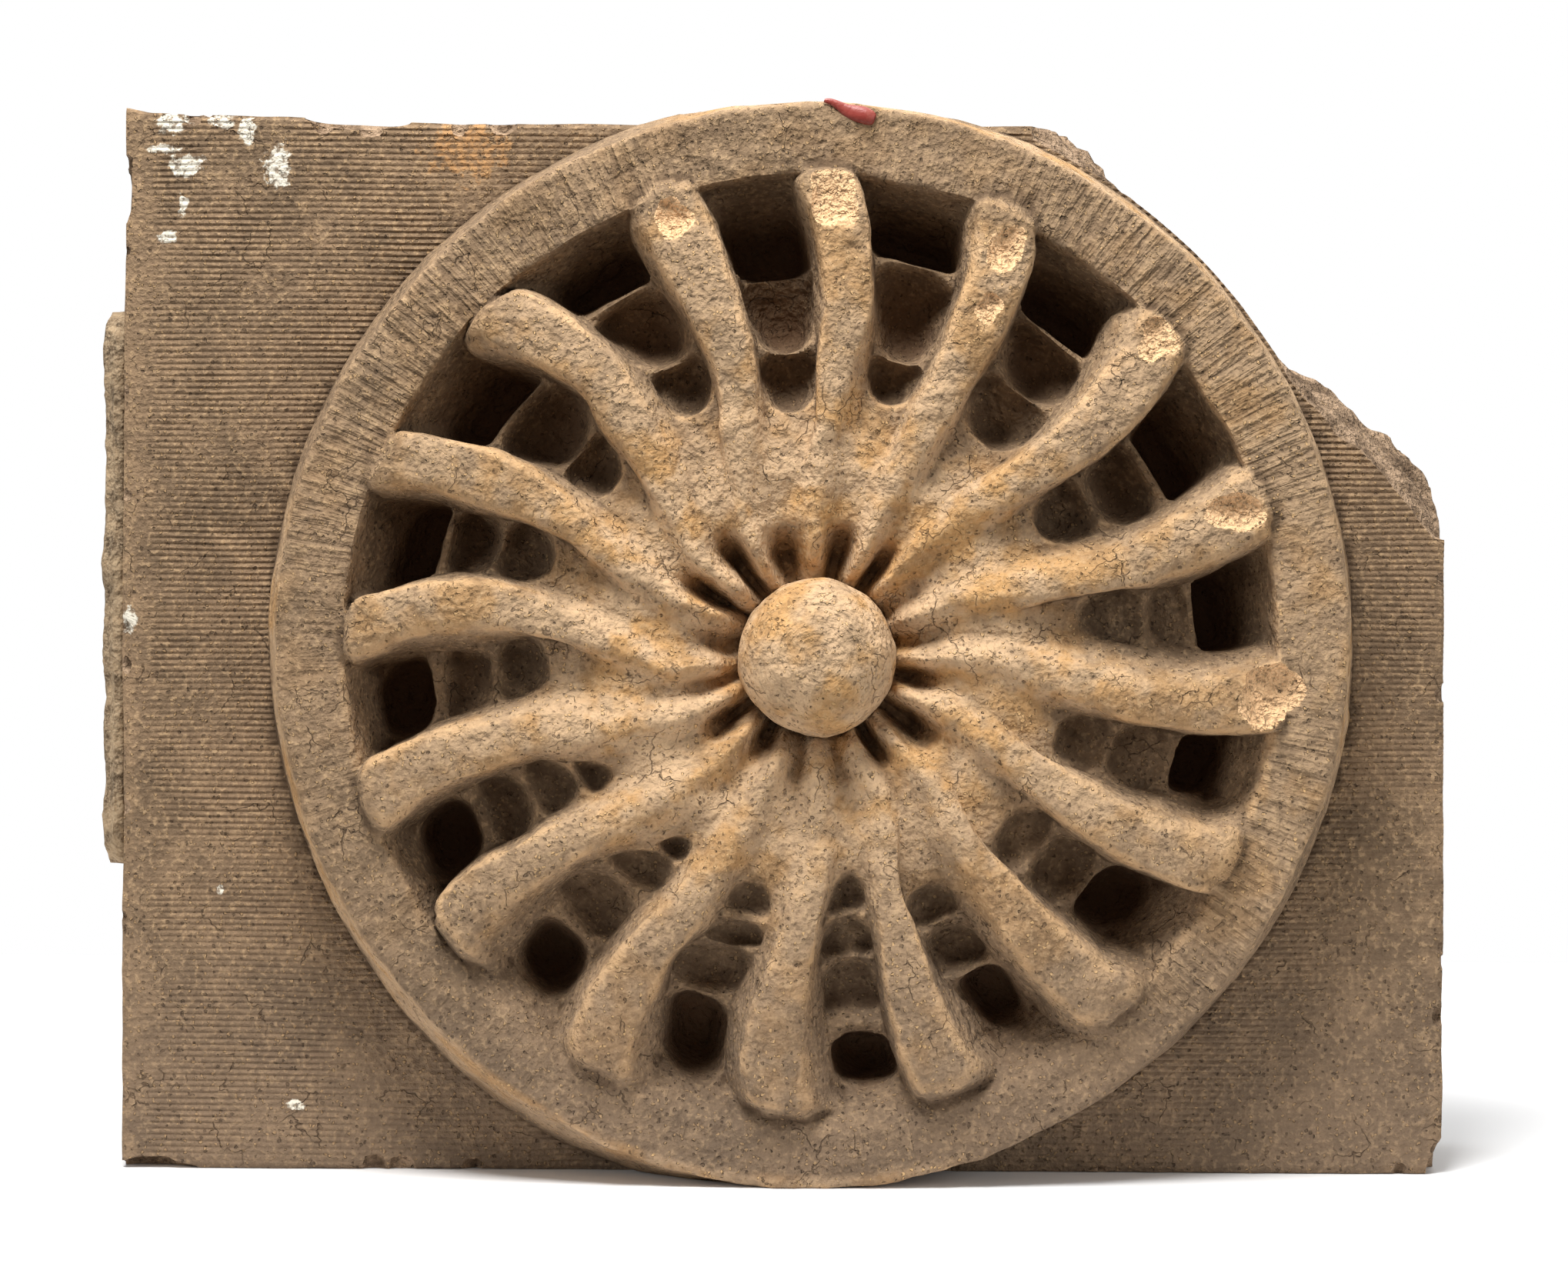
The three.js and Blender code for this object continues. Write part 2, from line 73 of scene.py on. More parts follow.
# Height of the worn top edge along the front, by x
TOP_EDGE = (
    (-310, 489), (-300, 489), (-293, 486.4), (-268, 486.4), (-210, 484.6), (-160, 482.4), (310, 482.4),
)

# Ring and hub
RING_X, RING_Z = 12.4, 244.8
RING_INNER, RING_OUTER, RING_FOOT = 209, 240.5, 250
RING_HEIGHT = 45
RING_EDGE = 3.5
RING_TOP_TRIM = 1.5
HUB_X, HUB_Z = 14, 238.6
BALL_X, BALL_Z = 15, 237.2
BALL_RADIUS, BALL_TOP, MOAT = 35.4, 72, 16
BALL_MIDDLE = 39.5
BALL_POWER = 2.3

# Bulges of the ring's inner edge, outer edge and foot: turn of the middle, amount, power of the cosine
SLOPE_SWELL = (180, 10, 1.5)
BOTTOM_SWELL = (180, 5, 6)
COVE_SWELL = (205, 8, 8)

# Arms: turn in degrees, clockwise from the top, at four radii from the tip inwards
ARM_RADII = (212, 147, 106, 67)
ARM_TURNS = np.array([
    (1.3, 4.8, 2.5, -1), (23.4, 26.3, 25, 24), (46.9, 50, 48, 44), (70.7, 74.3, 74, 68),
    (94.5, 97.6, 95, 91), (116.1, 119.8, 118, 113.5), (138.5, 142, 140.5, 136.5),
    (161.4, 163.6, 161, 155), (182.9, 184.8, 181, 178.5), (207, 208.5, 204.5, 200.5),
    (231.4, 233.4, 228.7, 222), (251.2, 254.4, 251.4, 245), (272.7, 278.1, 275.4, 264.5),
    (294.2, 298.3, 296, 291.5), (316.3, 321.6, 319, 309), (341.4, 343.8, 341.4, 330.4),
])
ARM_LAPS = np.array([2, 6, 5, 4, 6, 4, 8, 5, 4, 8, 1, 4, 0, 3, 0, 6])
ARM_COUNT = len(ARM_TURNS)
TIP_ROUND = 7
TIP_DROP = 5

# Height of an arm's crest and of the dome between arms, by distance from the hub's centre
CREST = ((30, 30), (37, 35), (43, 44), (52, 48.5), (80, 51.5), (110, 54.5), (150, 58), (190, 56), (215, 54))
DOME = ((46, 36), (60, 42), (85, 46.5))
CREST_HALVES = ((46, 2.5), (80, 4.5), (110, 7.5), (150, 10.5), (175, 12.5), (200, 14.5))
CREST_SHARE = 0.86
CREST_ROUND = 2
FLANK_POWER = 1.2
SLOT_FLOOR = 24
SLOT_RUN = 19
SLOT_ENDS = (63, 62, 48, 49, 58, 70, 62, 47, 47, 56, 62, 48, 50, 72, 72, 62)
ROOT_SHARE = 0.42
TIP_HALF = 15

# Pits in each gap, from the outer hole inwards: inner and outer radius, then the turns of the two sides
PITS = (
    ((184, 214, 6.5, 18.7), (138.5, 177, 9.5, 20.8), (117, 137, 10.9, 19.7)),
    ((181.5, 214, 29.5, 40.3), (153, 177, 31.4, 44), (122, 151, 31.2, 43.5)),
    ((175, 212, 53.5, 65.5), (143, 169, 55.3, 67.5), (115.5, 141, 54.5, 65.5)),
    ((174, 208, 77.5, 89), (150, 169, 79.5, 88.6), (119, 148, 77.3, 87.5)),
    ((170, 190, 101.6, 110), (139.5, 165, 102, 113), (114.5, 137, 103, 114)),
    ((163, 186, 124, 134), (135, 158, 124.7, 136), (114.5, 133, 123.8, 138)),
    ((161, 189.5, 148.2, 155.5), (135, 157, 149, 158.5), (114.5, 133, 150.3, 159.2)),
    ((172.5, 194.5, 168.6, 177), (138.5, 163, 169, 178.6), (119, 137, 168.2, 179), (101, 117.5, 168, 176.4)),
    ((164, 195.5, 193, 201.5), (136.5, 158, 192, 204.5), (122.5, 135, 190.4, 200), (105, 121, 189.7, 199.3)),
    ((169.5, 195.5, 216.3, 225), (134.5, 160.5, 215.2, 227.2), (114, 132.5, 212.2, 223.9),
     (101, 112, 211.7, 216.6)),
    ((173, 199, 238.6, 247.4), (143.5, 165, 237.6, 248.5), (121.5, 142, 238.2, 248),
     (105.5, 120, 237.6, 244.4)),
    ((174, 198, 258.5, 269), (144.5, 168, 260.7, 270.8), (121, 143, 261.8, 272.3)),
    ((176.5, 209, 278.5, 290), (150, 171, 283.5, 292.5), (125, 148.5, 283.8, 294)),
    ((176.5, 213, 300, 311.8), (140.5, 170, 304, 317.5), (119, 139, 304.7, 315)),
    ((186, 214, 323.3, 335.3), (146.5, 180, 327.1, 337.7), (121.5, 145, 328.6, 338.5)),
    ((174, 214, 347.5, 357.8), (137.5, 173.9, 348.5, 359.5), (111, 136, 348.4, 359.6)),
)
HOLE_FLOOR = -12
CUP_FLOORS = (17, 27, 34)
CUP_DROPS = (9, 7, 3, -9, -9, -5, -4, -4, -5, -4, -4, -2, 4, 6, 9, 12)
HOLE_TOP, HOLE_SLOPE = 1.05, 1.35
PIT_POWERS = (7, 2.9, 2.6, 2.4)
ROUND_HOLE_POWER = 2.8
PIT_STEEPNESS = 0.6
PIT_SPREAD = 1.09
PIT_TAPER = 0.22
CUP_TILT = 0.25
RIM_HEIGHTS = (30, 37, 42)
SHALLOW_STEP = 16
RING_SIDE_FEET = (38, 38, 38, 36, 8, 8, 15, 27, 28, 27, 18, 10, 36, 38, 38, 38)
RECESS_RADIUS, RECESS_DEPTH = 226, 20
ROSETTE_EMBED = 24

# Lost corner: its edge on the face drops from the top to the ring, follows it, and runs on to the right
# side; the lean is how far the broken face stands out by the time it is a shell's depth behind the face
BREAK_START = (111, 500)
BREAK_ARC_RADIUS, BREAK_ARC_FROM, BREAK_ARC_TO = 251.5, 23.5, 60
BREAK_SIDE = (
    (237, 361), (248, 348), (253, 340.5), (264.5, 334), (274, 325), (286, 309.5), (298.5, 293), (330, 291),
)
BREAK_LEANS = ((23, 21), (28, 15), (33, 7), (38, 1.5), (56, 1.5), (62, 12), (67, 23), (80, 24), (90, 16))
BREAK_REACH = 200
BREAK_STEP = 2.5
BREAK_LUMPS = ((3.8, 19), (2.8, 8), (1.4, 4))

# Larger chips: centre and half sizes; small ones are strewn along the front edges
CHIPS = (
    ((308, FACE_Y, 0), (10, 26, 18)), ((-196, FACE_Y, 487), (26, 22, 8)),
    ((-290, FACE_Y, -4), (24, 14, 9)), ((-308, FACE_Y, 452), (6, 14, 20)),
    ((307, FACE_Y, 98), (4, 9, 4)), ((-267, FACE_Y, 489), (3, 9, 5)), ((-306, FACE_Y, 463), (5, 8, 4)),
)
SMALL_CHIPS = 34
CHIP_LUMPS = ((0.2, 0.6), (0.1, 0.28))

# Broken and rubbed tips: arm number, distance out, half sizes, and height of the lowest point over the face
SCOOPS = (
    (4, 208, (19, 17, 18), 42), (0, 206, (15, 14, 17), 49.5), (1, 200, (13, 12, 13), 50),
    (1, 172, (8, 7, 8), 53.5), (2, 208, (14, 13, 13), 49.5), (3, 199, (17, 14, 14), 50.5),
    (15, 204, (13, 12, 13), 50),
)

# Wander and lumps of the clay: pairs of amount and size
SIDE_LUMPS = ((0.7, 38), (0.5, 13))
FACE_LUMPS = ((0.8, 110), (0.3, 22))
CARVED_LUMPS = ((1.0, 26), (0.75, 10), (0.4, 4.5))
HAND_WANDER, RING_WANDER, WANDER_SIZE = 1.7, 0.5, 28
CELL_WANDER, CELL_WANDER_SIZE = 1.2, 30
SOFTENING = 0.6

# Reach of soot with painted shade, of rubbing, and of the darkening towards the bottom: heights over the
# face, distances from the hub, levels above the bed
SOOT_AND_SHADE_HEIGHTS, SOOT_AND_SHADE_REACH = (-10, 30), (78, 100)
RUB_DROP, RUB_REACH, RUB_LEVELS = (4, 20), (90, 160), (70, 250)
RING_RUB_HEIGHTS, RING_RUB_LEVELS, RING_RUB_SIDE = (36, 42), (60, 160), (120, 220)
BOTTOM_DARKENING_LEVELS = (0, 170)

# Comb marks on the face
RIB_PITCH = 2.77
RIB_DEPTH = 0.72
ROWS_PER_RIB = 3
RIB_PROFILE = np.array([0, 0.3, 1])
RIB_COLUMN = 5
COMB_OVERHANG = 8
COMB_SWAY = ((1.6, 150), (0.5, 42))
COMB_MARGIN = (3, 16)
COMB_STRENGTH, COMB_PATCHES = 0.85, 0.28
COMB_WORN = 0.7

# Mortar and wax
MORTAR_ROWS, MORTAR_SIDES = 110, 44
MORTAR_SQUARENESS = 0.35
MORTAR_LEDGE, LEDGE_WANDER = 4, ((2.5, 30),)
MORTAR_LUMPS = ((1.3, 20), (0.8, 7), (0.4, 3))
DAB_ROWS, DAB_SIDES = 40, 24
DAB_LENGTH = 25.5
DAB_TURN = 20
DAB_LIFT = 4

# Camera: image size of the photograph, and the size of a pixel on the block's face
IMAGE_WIDTH = 2038
FACE_MM_PER_PIXEL = 0.3547
CAMERA_DISTANCE = 1450
CAMERA_HEIGHT = 247.25
CAMERA_ROLL = -0.3
SENSOR_WIDTH = 36


# Number helpers
def ease(value, low, high):
    """0 below low, 1 above high, and the cubic 3t^2 - 2t^3 between them."""
    part = np.clip((value - low) / (high - low), 0, 1)
    return part * part * (3 - 2 * part)


def mix(first, second, part):
    """Straight blend from first to second."""
    return first + (second - first) * part


def along(profile, distance, soften=4):
    """Value of a profile of (distance, value) pairs: straight lines, rounded by a bell of the given width."""
    places = np.arange(0, 300, 0.5)
    values = np.interp(places, *np.transpose(profile))
    offsets = np.arange(-3 * soften, 3 * soften + 0.5, 0.5)
    bell = np.exp(-0.5 * (offsets / soften) ** 2)
    padded = np.pad(values, len(offsets) // 2, mode="edge")
    return np.interp(distance, places, np.convolve(padded, bell / bell.sum(), mode="valid"))


AXIS_PRIMES = (73856093, 19349663, 83492791)
SEED_PRIME, MIXING_PRIME = 6542989, 1274126177


def grit(points, cell, seed):
    """Value noise from -1 to 1: random values at the corners of cubes of side cell, eased between corners."""
    scaled = points / cell
    base = np.floor(scaled).astype(np.int64)
    part = scaled - base
    eased = part * part * (3 - 2 * part)
    total = np.zeros(points.shape[:-1])
    for corner in np.ndindex(2, 2, 2):
        place = base + np.array(corner)
        mixed = seed * SEED_PRIME
        for axis, prime in enumerate(AXIS_PRIMES):
            mixed = mixed ^ place[..., axis] * prime
        mixed = (mixed ^ mixed >> 13) * MIXING_PRIME
        value = ((mixed ^ mixed >> 16) & 0xFFFF) / 32767.5 - 1
        total += value * np.prod(np.where(corner, eased, 1 - eased), axis=-1)
    return total


def lumpy(points, layers, seed):
    """Sum of noises: one for each pair of amount and cell size, with seeds that follow on."""
    return sum(amount * grit(points, cell, seed + i) for i, (amount, cell) in enumerate(layers))


def on_face(x, z, height):
    """Points at x and z that stand the given height in front of the block's face."""
    x, z, height = np.broadcast_arrays(x, z, height)
    return np.stack([x, FACE_Y - height, z], axis=-1).astype(float)


# Mesh helpers
def grid_quads(index):
    """Four corners of every cell of a grid of point numbers."""
    corners = [index[:-1, :-1], index[1:, :-1], index[1:, 1:], index[:-1, 1:]]
    return np.stack(corners, axis=-1).reshape(-1, 4)


def loft(loops, start, end):
    """Closed skin through a stack of closed loops, with a fan of triangles to a middle point at each end."""
    rows, columns = loops.shape[:2]
    index = np.arange(rows * columns).reshape(rows, columns)
    after = np.roll(index, -1, axis=1)
    quads = np.stack([index[:-1], after[:-1], after[1:], index[1:]], axis=-1).reshape(-1, 4)
    first = np.full(columns, rows * columns)
    start_fan = np.stack([first, after[0], index[0]], axis=-1)
    end_fan = np.stack([first + 1, index[-1], after[-1]], axis=-1)
    points = np.vstack([loops.reshape(-1, 3), start, end])
    return points, quads.tolist() + start_fan.tolist() + end_fan.tolist()


def lattice_box(xs, ys, zs):
    """Closed box whose six sides are grids through the given x, y and z places."""
    index = np.arange(len(xs) * len(ys) * len(zs)).reshape(len(xs), len(ys), len(zs))
    sides = [index[-1], index[0][::-1], index[:, 0], index[::-1, -1], index[:, :, -1], index[::-1, :, 0]]
    quads = np.vstack([grid_quads(side) for side in sides])
    used, packed = np.unique(quads, return_inverse=True)
    points = np.stack(np.meshgrid(xs, ys, zs, indexing="ij"), axis=-1).reshape(-1, 3)
    return points[used].astype(float), packed.reshape(-1, 4).tolist()


def even_steps(low, high, step):
    """Evenly spaced places from low to high, about one step apart."""
    return np.linspace(low, high, round(abs(high - low) / step) + 1)


def add_mesh(name, points, faces, material=None):
    """Object at the origin with the given points, in millimetres, and faces."""
    mesh = bpy.data.meshes.new(name)
    mesh.from_pydata((points * MM).tolist(), [], faces)
    if material:
        mesh.materials.append(material)
    piece = bpy.data.objects.new(name, mesh)
    bpy.context.scene.collection.objects.link(piece)
    return piece


def combine(piece, tools, operation):
    """Cuts or joins the tools into piece in turn, and removes them; faces keep their own material."""
    for tool in tools:
        step = piece.modifiers.new(operation.lower(), "BOOLEAN")
        step.operation = operation
        step.solver = "MANIFOLD"
        step.material_mode = "TRANSFER"
        step.object = tool
    graph = bpy.context.evaluated_depsgraph_get()
    result = bpy.data.meshes.new_from_object(piece.evaluated_get(graph))
    piece.modifiers.clear()
    piece.data = result
    for tool in tools:
        bpy.data.objects.remove(tool)


# Rosette
def arm_turn(index, r):
    """Turn of an arm's middle line: the cubic through its four turns, held still inside and outside them."""
    place = np.clip(r, ARM_RADII[-1], ARM_RADII[0])
    turn = 360.0 * (index // ARM_COUNT)
    for i, here in enumerate(ARM_RADII):
        weight = 1.0
        for there in ARM_RADII[:i] + ARM_RADII[i + 1:]:
            weight = weight * (place - there) / (here - there)
        turn = turn + weight * ARM_TURNS[index % ARM_COUNT, i]
    return np.radians(turn)


def ring_reach(angle, radius):
    """Distance from the hub's centre, along a ray, to a circle about the ring's centre."""
    dx, dz = RING_X - HUB_X, RING_Z - HUB_Z
    forward = dx * np.sin(angle) + dz * np.cos(angle)
    sideways = dx * np.cos(angle) - dz * np.sin(angle)
    return forward + np.sqrt(radius ** 2 - sideways ** 2)


def swell(angle, middle, amount, power):
    """Bulge about one turn of the ring: the amount times a power of the cosine of the angle from it."""
    return amount * np.maximum(0, np.cos(angle - math.radians(middle))) ** power


def ring_edges(angle):
    """Reach of the ring's inner edge, its outer edge and its foot."""
    inner = RING_INNER + swell(angle, *SLOPE_SWELL)
    outer = RING_OUTER + swell(angle, *BOTTOM_SWELL)
    foot = RING_FOOT + swell(angle, *COVE_SWELL)
    return ring_reach(angle, inner), ring_reach(angle, outer), ring_reach(angle, foot)


def gap_pits(gap):
    """Pits of a gap from the hole inwards; the hole ends at the ring, and a missing third cup is a step."""
    pits = [list(pit) for pit in PITS[gap % ARM_COUNT]]
    middle = math.radians((pits[0][2] + pits[0][3]) / 2)
    pits[0][1] = min(pits[0][1], float(ring_edges(middle)[0]) - 2)
    if len(pits) < 1 + len(CUP_FLOORS):
        low, _, start, end = pits[-1]
        pits.append([low - SHALLOW_STEP, low - 1.5, start, end])
    return np.array(pits)


def pit_sides(gap, r):
    """Shares of a gap, from one arm's middle to the next, at which its pits begin and end at a radius."""
    pits = gap_pits(gap)[::-1]
    places = pits[:, :2].mean(axis=1)
    first, second = arm_turn(gap, places), arm_turn(gap + 1, places)
    shares = (np.radians(pits[:, 2:].T) + 2 * np.pi * (gap // ARM_COUNT) - first) / (second - first)
    tip = TIP_HALF / (RING_INNER * (arm_turn(gap + 1, RING_INNER) - arm_turn(gap, RING_INNER)))
    stops = [46, 66, *places, RING_INNER - 3, RING_INNER + 4]
    left = np.array([ROOT_SHARE, ROOT_SHARE, *shares[0], shares[0][-1], tip])
    right = np.array([1 - ROOT_SHARE, 1 - ROOT_SHARE, *shares[1], shares[1][-1], 1 - tip])
    return along(np.stack([stops, left], 1), r, 5), along(np.stack([stops, right], 1), r, 5)


def bed_height(gap, r, inner):
    """Ground between two arms: slot at the hub, dome, the rims of the pits, then the ring's side and face."""
    (hole_low, hole_high), (first_low, first_high), (second_low, _), _ = gap_pits(gap)[:, :2]
    web, first, second = RIM_HEIGHTS
    places = [*(place for place, _ in DOME), second_low, first_low, first_high, hole_low, hole_high]
    heights = [*(height for _, height in DOME), second, first, web, web, RING_SIDE_FEET[gap]]
    ground = np.interp(r, places, heights)
    side = np.clip((r - hole_high) / (inner - hole_high), 0, 1)
    ground = mix(ground, RING_HEIGHT, side)
    slot = ease(r, SLOT_ENDS[gap] - SLOT_RUN, SLOT_ENDS[gap])
    return mix(SLOT_FLOOR, ground, slot)


def sink_pits(gap, across, r, ground):
    """Ground less its pits, each of depth (1 - |v|^p - |w|^p)^q, with v across the gap and w along it.

    Cups are narrower towards the hub and deepest at their lower end; square holes slope up to the ring.
    """
    square = RING_SIDE_FEET[gap] > RIM_HEIGHTS[0]
    powers = (PIT_POWERS[0] if square else ROUND_HOLE_POWER, *PIT_POWERS[1:])
    drop = CUP_DROPS[gap]
    floors = (HOLE_FLOOR, CUP_FLOORS[0] - drop, CUP_FLOORS[1] - drop / 2, CUP_FLOORS[2])
    upright = np.cos(arm_turn(gap, r))
    height = ground
    for (low, high), floor, power in zip(gap_pits(gap)[:len(PITS[gap]), :2], floors, powers):
        lengthwise = (2 * r - low - high) / (high - low) / PIT_SPREAD
        lean = 0 if floor == HOLE_FLOOR else np.clip(lengthwise, -1, 1)
        sideways = np.abs(across) * (1 - PIT_TAPER * lean)
        dish = np.clip(1 - sideways ** power - np.abs(lengthwise) ** power, 0, 1) ** PIT_STEEPNESS
        if square and floor == HOLE_FLOOR:
            dish = dish * np.clip((HOLE_TOP - lengthwise) / HOLE_SLOPE, 0, 1)
        height = height - (ground - floor) * dish * (1 - CUP_TILT * lean * upright)
    return height


def arm_height(index, from_middle, half, r, ground):
    """Height of an arm: a crest rounded as a parabola, flanks falling as (1 - u)^f, and a round tip."""
    top = np.minimum(along(CREST_HALVES, r), CREST_SHARE * half)
    tip = ring_reach(arm_turn(index, r), RING_INNER) + ARM_LAPS[index % ARM_COUNT]
    past = np.clip((r - tip + TIP_ROUND) / TIP_ROUND, 0, 0.999)
    out = from_middle / np.sqrt(1 - past ** 2)
    down = np.clip((out - top) / (half - top), 0, 1)
    rise = (1 - down) ** FLANK_POWER * (r < tip)
    crest = along(CREST, r, 2) - TIP_DROP * past ** 3 - CREST_ROUND * np.minimum(1, out / top) ** 2
    return ground + np.maximum(crest - ground, 0) * rise


def relief_height(gap, share, r):
    """Height of the rosette: ground with its pits, the arms beside them, the ring's round edge and wall."""
    left, right = pit_sides(gap, r)
    first, second = arm_turn(gap, r), arm_turn(gap + 1, r)
    inner, outer, foot = ring_edges(mix(first, second, share))
    ground = bed_height(gap, r, inner)
    across = np.clip(2 * (share - left) / (right - left) - 1, -1, 1) / PIT_SPREAD
    width = r * (second - first)
    from_middle = np.minimum(share, 1 - share) * width
    half = np.where(share < 0.5, left, 1 - right) * width
    index = np.where(share < 0.5, gap, gap + 1)
    arms = arm_height(index, from_middle, half, r, ground)
    height = np.where(from_middle < half, arms, sink_pits(gap, across, r, ground))
    rounded = np.clip((r - outer + RING_EDGE) / RING_EDGE, 0, 1)
    height = height - RING_EDGE * (1 - np.sqrt(1 - rounded ** 2))
    wall = (RING_HEIGHT - RING_EDGE) * (1 - (r - outer) / (foot - outer))
    return np.where(r > outer, wall, height)


def bunched(count):
    """Steps from 0 to 1, closer together at both ends: (1 - cos(pi t)) / 2."""
    return (1 - np.cos(np.pi * np.arange(count) / count)) / 2


# Grid of one gap: lines over an arm's half, the pits, and half of the next arm; rows between the stops
ARM_LINES = np.array([0, 0.14, 0.27, 0.39, 0.5, 0.6, 0.7, 0.8, 0.89, 0.96])
PIT_LINES = bunched(14)
ON_FIRST = np.concatenate([ARM_LINES, np.ones(len(PIT_LINES) + len(ARM_LINES))])
ON_SECOND = np.concatenate([np.ones(len(ARM_LINES) + len(PIT_LINES)), [1], ARM_LINES[:0:-1]])
IN_PITS = np.concatenate([0 * ARM_LINES, PIT_LINES, 1 + 0 * ARM_LINES])
ROOT_STOPS = (30, 37, 43, 50, 62)
ROOT_STEPS = [np.arange(count) / count for count in (4, 4, 4, 6, 12)]
PIT_STEPS = [bunched(8), np.zeros(1), bunched(12), np.zeros(1), bunched(12), np.arange(4) / 4, bunched(14)]
RING_STEPS = [np.arange(count) / count for count in (5, 11, 4, 6)]


def grid_rows(gap):
    """Radii of the rows on each line of a gap: its own stops in the pits, the mean of two gaps' on an arm."""
    own, before, after = (np.sort(gap_pits(gap + step)[:, :2].ravel()) for step in (0, -1, 1))
    stops = own + ((before - own) * (1 - ON_FIRST[:, None]) + (after - own) * (1 - ON_SECOND[:, None])) / 2
    share = np.interp(np.arange(len(ON_FIRST)), [0, len(ON_FIRST)], [0, 1])
    inner, outer, foot = ring_edges(mix(arm_turn(gap, RING_INNER), arm_turn(gap + 1, RING_INNER), share))
    roots = np.tile(ROOT_STOPS, (len(ON_FIRST), 1))
    stops = np.hstack([roots, stops, np.stack([inner, outer - RING_EDGE, outer, foot], axis=1)])
    steps = ROOT_STEPS + PIT_STEPS + RING_STEPS
    rows = [mix(stops[:, i, None], stops[:, i + 1, None], part) for i, part in enumerate(steps)]
    return np.hstack([*rows, stops[:, -1:]])


def make_rosette():
    """Ring, arms and pits: a grid of rows around the hub and lines along the arms, closed by a flat back."""
    columns = []
    for gap in range(ARM_COUNT):
        r = grid_rows(gap)
        left, right = pit_sides(gap, r)
        share = mix(left * ON_FIRST[:, None], right, IN_PITS[:, None])
        share = np.where(IN_PITS[:, None] == 1, 1 - ON_SECOND[:, None] * (1 - right), share)
        angle = mix(arm_turn(gap, r), arm_turn(gap + 1, r), share)
        points = on_face(HUB_X + r * np.sin(angle), HUB_Z + r * np.cos(angle), relief_height(gap, share, r))
        hand = mix(HAND_WANDER, RING_WANDER, ease(r, RING_INNER - 10, RING_INNER + 12))
        points[..., 0] += hand * grit(points, WANDER_SIZE, 91)
        points[..., 2] += hand * grit(points, WANDER_SIZE, 92)
        columns.append(points)
    loops = np.concatenate(columns).swapaxes(0, 1)
    rim = loops[-1:].copy()
    rim[..., 1] = FACE_Y + ROSETTE_EMBED
    loops = np.concatenate([loops, rim])
    front, back = on_face(HUB_X, HUB_Z, MOAT), on_face(RING_X, RING_Z, -ROSETTE_EMBED)
    rosette = add_mesh("rosette", *loft(loops, front, back))
    reach = 2 * RING_FOOT
    slab = add_mesh("slab", *lattice_box([-reach, reach], [-reach, reach], [BED, TOP + RING_TOP_TRIM]))
    combine(rosette, [slab], "INTERSECT")
    return rosette


def make_hub():
    """Hub: a squat ball, the curve |across|^p + |up|^p = 1 turned round its axis, sunk between the arms."""
    turn = np.linspace(0, 2 * np.pi, 96, endpoint=False)
    up = np.sin(np.radians(np.linspace(85, -58, 30)))[:, None]
    radius = BALL_RADIUS * (1 - np.abs(up) ** BALL_POWER) ** (1 / BALL_POWER)
    height = BALL_MIDDLE + (BALL_TOP - BALL_MIDDLE) * up
    loops = on_face(BALL_X + radius * np.sin(turn), BALL_Z + radius * np.cos(turn), height)
    ends = [on_face(BALL_X, BALL_Z, end) for end in (BALL_TOP, height[-1, 0])]
    return add_mesh("hub", *loft(loops, *ends))


# Block
def make_block():
    """Block: a gridded box; its top follows the worn front edge, and its sides wander a little."""
    xs = even_steps(LEFT, RIGHT, BLOCK_GRID)
    ys = even_steps(FACE_Y - FRONT_SPARE, BACK_Y, BLOCK_GRID)
    zs = even_steps(BED, TOP, BLOCK_GRID)
    points, faces = lattice_box(xs, ys, zs)
    front = 1 - ease(points[:, 1], FACE_Y, FACE_Y + 45)
    worn = np.interp(points[:, 0], *np.transpose(TOP_EDGE)) - TOP
    on_top = points[:, 2] > TOP - 1
    on_side = np.abs(points[:, 0]) > RIGHT - 1
    wander = lumpy(points, SIDE_LUMPS, 11)
    points[:, 2] += np.where(on_top, worn * front + 0.6 * wander * front, 0)
    points[:, 0] += np.where(on_side, wander, 0)
    return add_mesh("terracotta_block", points, faces, clay)


def make_chip(centre, radii, seed, material):
    """Rough ball: a sphere stretched to its half sizes, its surface moved in and out by noise."""
    turn = np.linspace(0, 2 * np.pi, 22, endpoint=False)
    tilt = np.linspace(-np.pi / 2, np.pi / 2, 14)[1:-1, None]
    parts = np.broadcast_arrays(np.cos(tilt) * np.cos(turn), np.cos(tilt) * np.sin(turn), np.sin(tilt))
    ball = np.stack(parts, axis=-1)
    rough = 1 + lumpy(ball, CHIP_LUMPS, seed)
    pole = np.array([0, 0, radii[2]])
    loops = np.array(centre) + ball * rough[..., None] * np.array(radii)
    return add_mesh("chip", *loft(loops, centre - pole, centre + pole), material)


def edge_chips():
    """Rough balls for the large chips, and small ones strewn at random along the front's four edges."""
    chips = [make_chip(np.array(centre), radii, 20 + i, fracture) for i, (centre, radii) in enumerate(CHIPS)]
    chance = np.random.default_rng(7)
    for i in range(SMALL_CHIPS):
        share, size = chance.random(), mix(1.6, 4.2, chance.random() ** 2)
        side = i % 4
        x = (mix(LEFT, RIGHT, share), LEFT, RIGHT, mix(LEFT, -100, share))[side]
        z = (BED, mix(BED, TOP, share), mix(BED, 290, share), np.interp(x, *np.transpose(TOP_EDGE)))[side]
        radii = size * np.array([1.2, 1, 1.2]) * (1 + 0.6 * chance.random(3))
        chips.append(make_chip(np.array([x, FACE_Y, z]), radii, 60 + i, fracture))
    return chips


